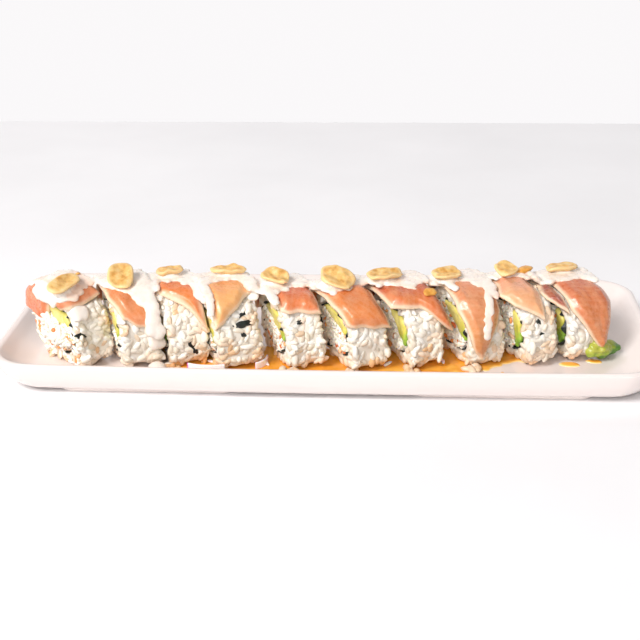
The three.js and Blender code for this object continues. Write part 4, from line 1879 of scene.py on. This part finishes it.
@dataclass
class GarlicChip:
    """A fried slice of garlic, curled, lying where its solid is."""

    node: str
    seed: int
    curl: float = 0.8
    square: float = 2.5
    uneven: float = 0.07
    warp: float = 0.3
    warp_size: float = 5.0
    rim_share: float = 0.75
    rings: int = 12
    sides: int = 48
    finish: Finish = FriedGarlic()

    def frame_axes(self) -> tuple[np.ndarray, np.ndarray, np.ndarray]:
        """The solid's middle, its three directions as rows, and its size along them."""
        points = solid(self.node).points
        middle = (points.max(axis=0) + points.min(axis=0)) / 2
        _, ways = np.linalg.eigh(np.cov((points - middle).T))
        axes = ways.T[::-1].copy()
        if axes[2, 2] < 0:
            axes[2] *= -1
        axes[1] = np.cross(axes[2], axes[0])
        reach = (points - middle) @ axes.T
        return middle, axes, reach.max(axis=0) - reach.min(axis=0)

    def build(self) -> Shape:
        """An uneven oval with a raised rim and a hollow middle."""
        middle, axes, size = self.frame_axes()
        share = np.linspace(0.06, 1, self.rings)
        angle = np.linspace(0, 2 * math.pi, self.sides, endpoint=False)
        ways = np.stack([np.cos(angle), np.sin(angle)], axis=-1)
        outline = 1 + self.uneven * waves(ways, 1.6, self.seed)
        rounded = np.sign(ways) * np.abs(ways) ** (2 / self.square)
        rings, rims = [], []
        for side, shares in ((-1, share), (1, share[::-1])):
            for r in shares:
                flat = size[:2] / 2 * r * outline[:, None] * rounded
                x, y = flat.T
                half = size[2] / 2 * math.sqrt(max(1 - r**6, 0.02)) * (1 - 0.25 * side * (1 - r**2))
                bowl = self.curl * ((y / size[1] * 2) ** 2 - 0.35)
                bowl = bowl + self.warp * waves(flat, self.warp_size, self.seed + 1)
                rings.append(np.stack([x, y, side * half + bowl], axis=-1))
                rims.append(np.full(self.sides, smoothstep(0.72, 0.98, np.array(r))))
        shape = lofted(np.array(rings), Ends.FLAT)
        shape.points = shape.points @ axes + middle
        shape.fields = {"rim": self.rim_share * np.concatenate(rims)}
        return shape

    def dress(self) -> None:
        """Shows the chip."""
        show(f"{self.node}_chip", self.build(), self.finish, [self.node])


@dataclass
class GarlicCrumbs:
    """Broken bits of fried garlic: a nugget on one slice's fish, and flakes by three chips.

    Attributes:
        places: The slice's number, along, drop and size of each.
        lift: How far over the fish they lie.
        finish: What they are dressed in.
    """

    places: tuple[tuple[int, float, float, float], ...] = (
        (7, 0.6, 10.5, 5.5), (9, 0.75, -4.0, 9.0), (1, 0.75, 1.0, 2.2), (4, 0.95, -3.0, 2.4),
    )
    lift: float = 0.6
    finish: Finish = FriedGarlic("garlic_crumbs_fried_dark", "#f0bd6c", "#e8a548", "#c98630")

    def dress(self) -> None:
        """Shows the crumbs as one piece."""
        shapes = []
        for i, (number, along, drop, size) in enumerate(self.places):
            place = SLICES[number - 1]
            lift = np.array([FISH_TOP + self.lift])
            low = place.over(np.array([along]), np.array([drop]), lift)
            high = place.over(np.array([along]), np.array([drop]), lift + 1)
            axes = lying(unit(high - low), 0.2, 800 + i)
            sizes = np.array([[size, 0.7 * size, 0.3 * size]])
            rim = {"rim": np.array([0.1])}
            shapes.append(scattered(pebble(9, 12, 2.8, 0.04, 20 + i), low, axes, sizes, rim))
        show("garlic_crumbs", joined(shapes), self.finish)


@dataclass
class PlateGarnish:
    """What lies on the plate by the roll: the drop of cream, the onion and the loose avocado.

    Attributes:
        voxel: The mesh size of the cream and the avocado.
        onion_voxel: The mesh size of the onion.
        mash: The lumps of avocado by the last slice: u, v and z, then their three sizes.
        mash_relief: How uneven they are.
        fallen: The small shreds of onion: the slice's number, how far beside it, v and size.
        cream: What the drop is dressed in.
        onion: What the onion is dressed in.
        avocado: What the avocado is dressed in.
    """

    voxel: float = 0.4
    onion_voxel: float = 0.25
    mash: tuple[tuple[float, float, float, float, float, float], ...] = (
        (1.4, -18.2, 4.6, 4.0, 3.0, 5.0), (3.0, -18.2, 5.6, 5.0, 3.6, 6.0), (5.0, -18.6, 5.2, 5.0, 3.6, 7.0),
        (7.0, -18.0, 4.2, 5.5, 4.0, 6.5), (9.0, -16.4, 3.6, 6.0, 5.0, 6.0), (5.2, -18.0, 9.5, 4.0, 3.0, 5.0),
        (7.4, -16.0, 8.5, 5.0, 4.0, 5.0),
    )
    mash_relief: float = 0.25
    fallen: tuple[tuple[int, float, float, float], ...] = (
        (4, 1.5, -14.0, 5.0), (6, 1.0, -13.0, 4.5), (7, 0.8, -12.5, 4.5), (3, 0.8, -14.5, 4.0),
    )
    cream: Finish = GarlicCream()
    onion: Finish = RedOnion()
    avocado: Finish = AvocadoFlesh("avocado_overripe_mashed", "#d9cf78", "#c0b950", "#95a83c", "#4f7d26")

    def dress(self) -> None:
        """Shows each of them."""
        dollop = remeshed(solid("cream_drop"), self.voxel, 4)
        show("cream_drop_dollop", dollop, self.cream, ["cream_drop"])
        for node in ("onion_01", "onion_02"):
            self.ribbon(node)
        self.shreds()
        self.wedge()

    def box_share(self, points: np.ndarray) -> np.ndarray:
        """Where points lie in their own box, from 0 to 1 each way."""
        low, high = points.min(axis=0), points.max(axis=0)
        return (points - low) / (high - low)

    def ribbon(self, node: str) -> None:
        """Shows a ribbon of onion, with skin along its foot and at its left end.

        Args:
            node: The ribbon's node.
        """
        ribbon = remeshed(solid(node), self.onion_voxel, 2)
        share = self.box_share(ribbon.points)
        skinned = smoothstep(0.3, 0.0, share[:, 2]) * smoothstep(0.9, 0.2, share[:, 0])
        ribbon.fields = {"skin": np.maximum(skinned, smoothstep(0.1, 0.0, share[:, 0]))}
        show(f"{node}_ribbon", ribbon, self.onion, [node])

    def wedge(self) -> None:
        """Shows the avocado that has slipped out of the last slice, with its mashed lumps."""
        last = SLICES[-1]
        lumps = np.array(self.mash)
        centres = last.world(lumps[:, 0], lumps[:, 1], lumps[:, 2])
        level = np.tile(np.eye(3), (len(lumps), 1, 1))
        mashed = scattered(pebble(9, 14, 2.4, 0.03, 9), centres, level, lumps[:, 3:], {})
        wedge = remeshed(joined([solid("avocado_end"), mashed]), self.voxel, 3)
        uneven = self.mash_relief * waves(wedge.points, 3.0, 77)
        wedge.points = wedge.points + uneven[:, None] * wedge.normals()
        share = self.box_share(wedge.points)
        foot, end = smoothstep(0.5, 0.1, share[:, 2]), smoothstep(0.6, 1, share[:, 0])
        wedge.fields = {"ripe": 0.6 + 0.35 * foot + 0.4 * end}
        show("avocado_end_flesh", wedge, self.avocado, ["avocado_end"])

    def shreds(self) -> None:
        """Shows the small shreds of onion that have fallen between the slices."""
        shapes = []
        for i, (number, beside, v, size) in enumerate(self.fallen):
            place = SLICES[number - 1]
            low = place.world(np.array([place.half + beside]), np.array([v]), np.array([0.5]))
            axes = lying(upward(1), 0.15, 850 + i)
            sizes = np.array([[size, 0.35 * size, 0.26 * size]])
            skin = {"skin": np.array([0.3 + 0.06 * i])}
            shapes.append(scattered(pebble(9, 10, 2.6, 0.1, 30 + i), low, axes, sizes, skin))
        show("onion_shreds", joined(shapes), self.onion)


@dataclass
class PonzuPool:
    """The thin sauce that has run out round the slices, and its drops.

    Attributes:
        film: The sauce's depth.
        voxel: The mesh size of its skin.
        passes: How many times the skin is smoothed.
        reach: Where it starts and ends along the plate.
        beside: How far it runs out to either side of a slice.
        across: From where to where it runs across a slice.
        dab: The least and the most width of the dabs that it is made of.
        shore: Points of its front edge, as x and y.
        shore_wave: How far that edge wavers, and over what length.
        drops: The drops: x and y, then half length and half width.
        finish: What they are dressed in.
    """

    film: float = 0.55
    voxel: float = 0.55
    passes: int = 8
    reach: Pair = (-58.0, 82.0)
    beside: float = 4.0
    across: Pair = (-21.0, 10.5)
    dab: Pair = (4.5, 6.5)
    shore: tuple[Pair, ...] = (
        (-66, -30), (-45, -33), (-20, -36), (0, -37), (22, -36), (30, -31), (45, -35), (57, -33), (64, -27),
        (70, -21), (82, -18),
    )
    shore_wave: Pair = (1.2, 11.0)
    drops: tuple[tuple[float, float, float, float], ...] = (
        (97.9, -22.0, 4.6, 2.6), (108.0, -18.6, 3.6, 2.2), (70.5, -31.0, 1.3, 0.8),
    )
    finish: Finish = PonzuSauce()

    def dress(self) -> None:
        """Shows the pool and the drops as one piece."""
        draw = np.random.default_rng(900)
        centres, sizes = [], []
        for place in SLICES[1:9]:
            for u in np.linspace(-place.half - self.beside, place.half + self.beside, 22):
                for v in np.linspace(*self.across, 18):
                    x, y, _ = place.world(np.array(u), np.array(v), np.array(0.0))
                    centres.append((x, y, PLATE_FLOOR))
                    sizes.append(draw.uniform(*self.dab))
        centres = np.array(centres) + draw.normal(0, 0.5, (len(centres), 3)) * (1, 1, 0)
        sizes = np.array(sizes)[:, None] * np.array([1.0, 1.0, 0.0]) + np.array([0, 0, 2 * self.film])
        front = centres[:, 1] - self.edge(centres[:, 0])
        kept = (front > 0) & (centres[:, 0] > self.reach[0]) & (centres[:, 0] < self.reach[1])
        template = pebble(6, 12, 2.0, 0.0, 1)
        lie = lying(upward(int(kept.sum())), 0.0, 901)
        pool = scattered(template, centres[kept], lie, sizes[kept], {})
        spots = np.array(self.drops)
        spot_centres = np.column_stack([spots[:, :2], np.full(len(spots), PLATE_FLOOR)])
        spot_sizes = np.column_stack([2 * spots[:, 2:], np.full(len(spots), 2.4 * self.film)])
        level = np.tile(np.eye(3), (len(spots), 1, 1))
        wet = scattered(pebble(12, 24, 2.4, 0.0, 5), spot_centres, level, spot_sizes, {})
        skin = remeshed(joined([pool, wet]), self.voxel, self.passes)
        skin.points[:, 2] = np.maximum(skin.points[:, 2], PLATE_FLOOR - 0.3)
        skin.fields = {"film": smoothstep(0.0, self.film, skin.points[:, 2] - PLATE_FLOOR)}
        show("ponzu_pool", skin, self.finish)

    def edge(self, x: np.ndarray) -> np.ndarray:
        """How far to the front the pool runs at each place along the plate.

        Args:
            x: The places.

        Returns:
            The edge's y at each of them.
        """
        height, length = self.shore_wave
        return np.interp(x, *np.transpose(self.shore)) + height * waves(x[:, None], length, 902)


@dataclass
class Studio:
    """The table, the bright backdrop, the lights and the camera at the photograph's angle."""

    table_half_width: float = 3000.0
    table_front: float = -3000.0
    table_back: float = 415.0
    table_thickness: float = 30.0
    backdrop_y: float = 900.0
    backdrop_height: float = 1400.0
    backdrop_strength: float = 0.96
    sky_strength: float = 0.14
    sky_seen: float = 0.93
    target: Span = (-3.53, 0.08, 13.74)
    azimuth: float = 3.64
    elevation: float = 22.47
    distance: float = 509.0
    roll: float = -0.616
    lens: float = 68.29
    sensor: float = 36.0
    key_place: Span = (-950.0, -1150.0, 1400.0)
    key_size: float = 650.0
    key_power: float = 37.0
    fill_place: Span = (-250.0, -2000.0, 1050.0)
    fill_size: float = 900.0
    fill_power: float = 24.0
    table: Finish = PaintedTable()

    def floor(self) -> None:
        """The table top, which is not part of the object."""
        x, low, high = self.table_half_width, self.table_front, self.table_back
        top = [(-x, low, 0), (x, low, 0), (x, high, 0), (-x, high, 0)]
        ring = np.array(top, dtype=float)
        shape = lofted(np.array([ring - np.array([0, 0, self.table_thickness]), ring]), Ends.FLAT)
        table = bpy.data.objects.new("table_top", shape.mesh("table_top"))
        table.data.shade_flat()
        table.data.materials.append(self.table.material())
        bpy.context.scene.collection.objects.link(table)

    def backdrop(self) -> None:
        """A bright white paper behind the table, which is not part of the object."""
        x, y, z = self.table_half_width, self.backdrop_y, self.backdrop_height
        paper = bpy.data.meshes.new("backdrop_paper")
        corners = np.array([(-x, y, -z), (x, y, -z), (x, y, z), (-x, y, z)]) * MM
        paper.from_pydata(corners.tolist(), [], [(0, 1, 2, 3)])
        sheet = bpy.data.objects.new("backdrop_paper", paper)
        glow = bpy.data.materials.new("paper_white_lit")
        glow.use_nodes = True
        shader = glow.node_tree.nodes["Principled BSDF"]
        shader.inputs["Base Color"].default_value = linear("#000000")
        shader.inputs["Specular IOR Level"].default_value = 0.0
        shader.inputs["Emission Color"].default_value = linear("#fffdfe")
        shader.inputs["Emission Strength"].default_value = self.backdrop_strength
        paper.materials.append(glow)
        bpy.context.scene.collection.objects.link(sheet)

    def lamp(self, name: str, place: Span, size: float, power: float) -> None:
        """A square soft light turned to the roll.

        Args:
            name: The light's name.
            place: Where it hangs.
            size: The length of its side.
            power: In watts.
        """
        data = bpy.data.lights.new(name, "AREA")
        data.size = size * MM
        data.energy = power
        light = bpy.data.objects.new(name, data)
        light.location = Vector(place) * MM
        light.rotation_mode = "QUATERNION"
        light.rotation_quaternion = (Vector(self.target) - Vector(place)).to_track_quat("-Z", "Y")
        bpy.context.scene.collection.objects.link(light)

    def camera(self) -> None:
        """The camera, at the photograph's angle and framing."""
        turn, rise, tip = (math.radians(a) for a in (self.azimuth, self.elevation, self.roll))
        back = Vector((math.sin(turn) * math.cos(rise), -math.cos(turn) * math.cos(rise), math.sin(rise)))
        level = (-back).cross(Vector((0, 0, 1))).normalized()
        upright = back.cross(level)
        right = level * math.cos(tip) + upright * math.sin(tip)
        up = upright * math.cos(tip) - level * math.sin(tip)
        data = bpy.data.cameras.new("camera")
        data.lens = self.lens
        data.sensor_width = self.sensor
        data.clip_start = 0.01
        camera = bpy.data.objects.new("camera", data)
        place = (Vector(self.target) + back * self.distance) * MM
        camera.matrix_world = Matrix.Translation(place) @ Matrix((right, up, back)).transposed().to_4x4()
        bpy.context.scene.collection.objects.link(camera)
        bpy.context.scene.camera = camera

    def dress(self) -> None:
        """Sets the table, the lights and the camera."""
        scene = bpy.context.scene
        self.floor()
        self.backdrop()
        world = bpy.data.worlds.new("studio")
        world.use_nodes = True
        sky = world.node_tree.nodes["Background"]
        sky.inputs["Color"].default_value = linear("#fffcfb")
        seen = add(world.node_tree, "ShaderNodeLightPath").outputs["Is Camera Ray"]
        strength = spread(world.node_tree, seen, (0.0, 1.0), (self.sky_strength, self.sky_seen))
        world.node_tree.links.new(strength, sky.inputs["Strength"])
        scene.world = world
        self.lamp("key", self.key_place, self.key_size, self.key_power)
        self.lamp("fill", self.fill_place, self.fill_size, self.fill_power)
        self.camera()
        scene.view_settings.view_transform = "Standard"


def main() -> None:
    """Builds and dresses every piece."""
    logging.basicConfig(level=logging.INFO, format="%(name)s %(message)s")
    Studio().dress()
    Plate().dress()
    for place in SLICES:
        RiceBed(place).dress()
        NoriSheet(place).dress()
        CrabFilling(place).dress()
        AvocadoFilling(place).dress()
        FishCover(place.label("fish"), place, place.cover).dress()
        GarlicChip(place.label("garlic"), 40 + place.number).dress()
    FishCover("fish_under", SLICES[-1], UNDER_COVER).dress()
    CreamTopping().dress()
    GarlicCrumbs().dress()
    PlateGarnish().dress()
    PonzuPool().dress()


if __name__ == "__main__":
    main()
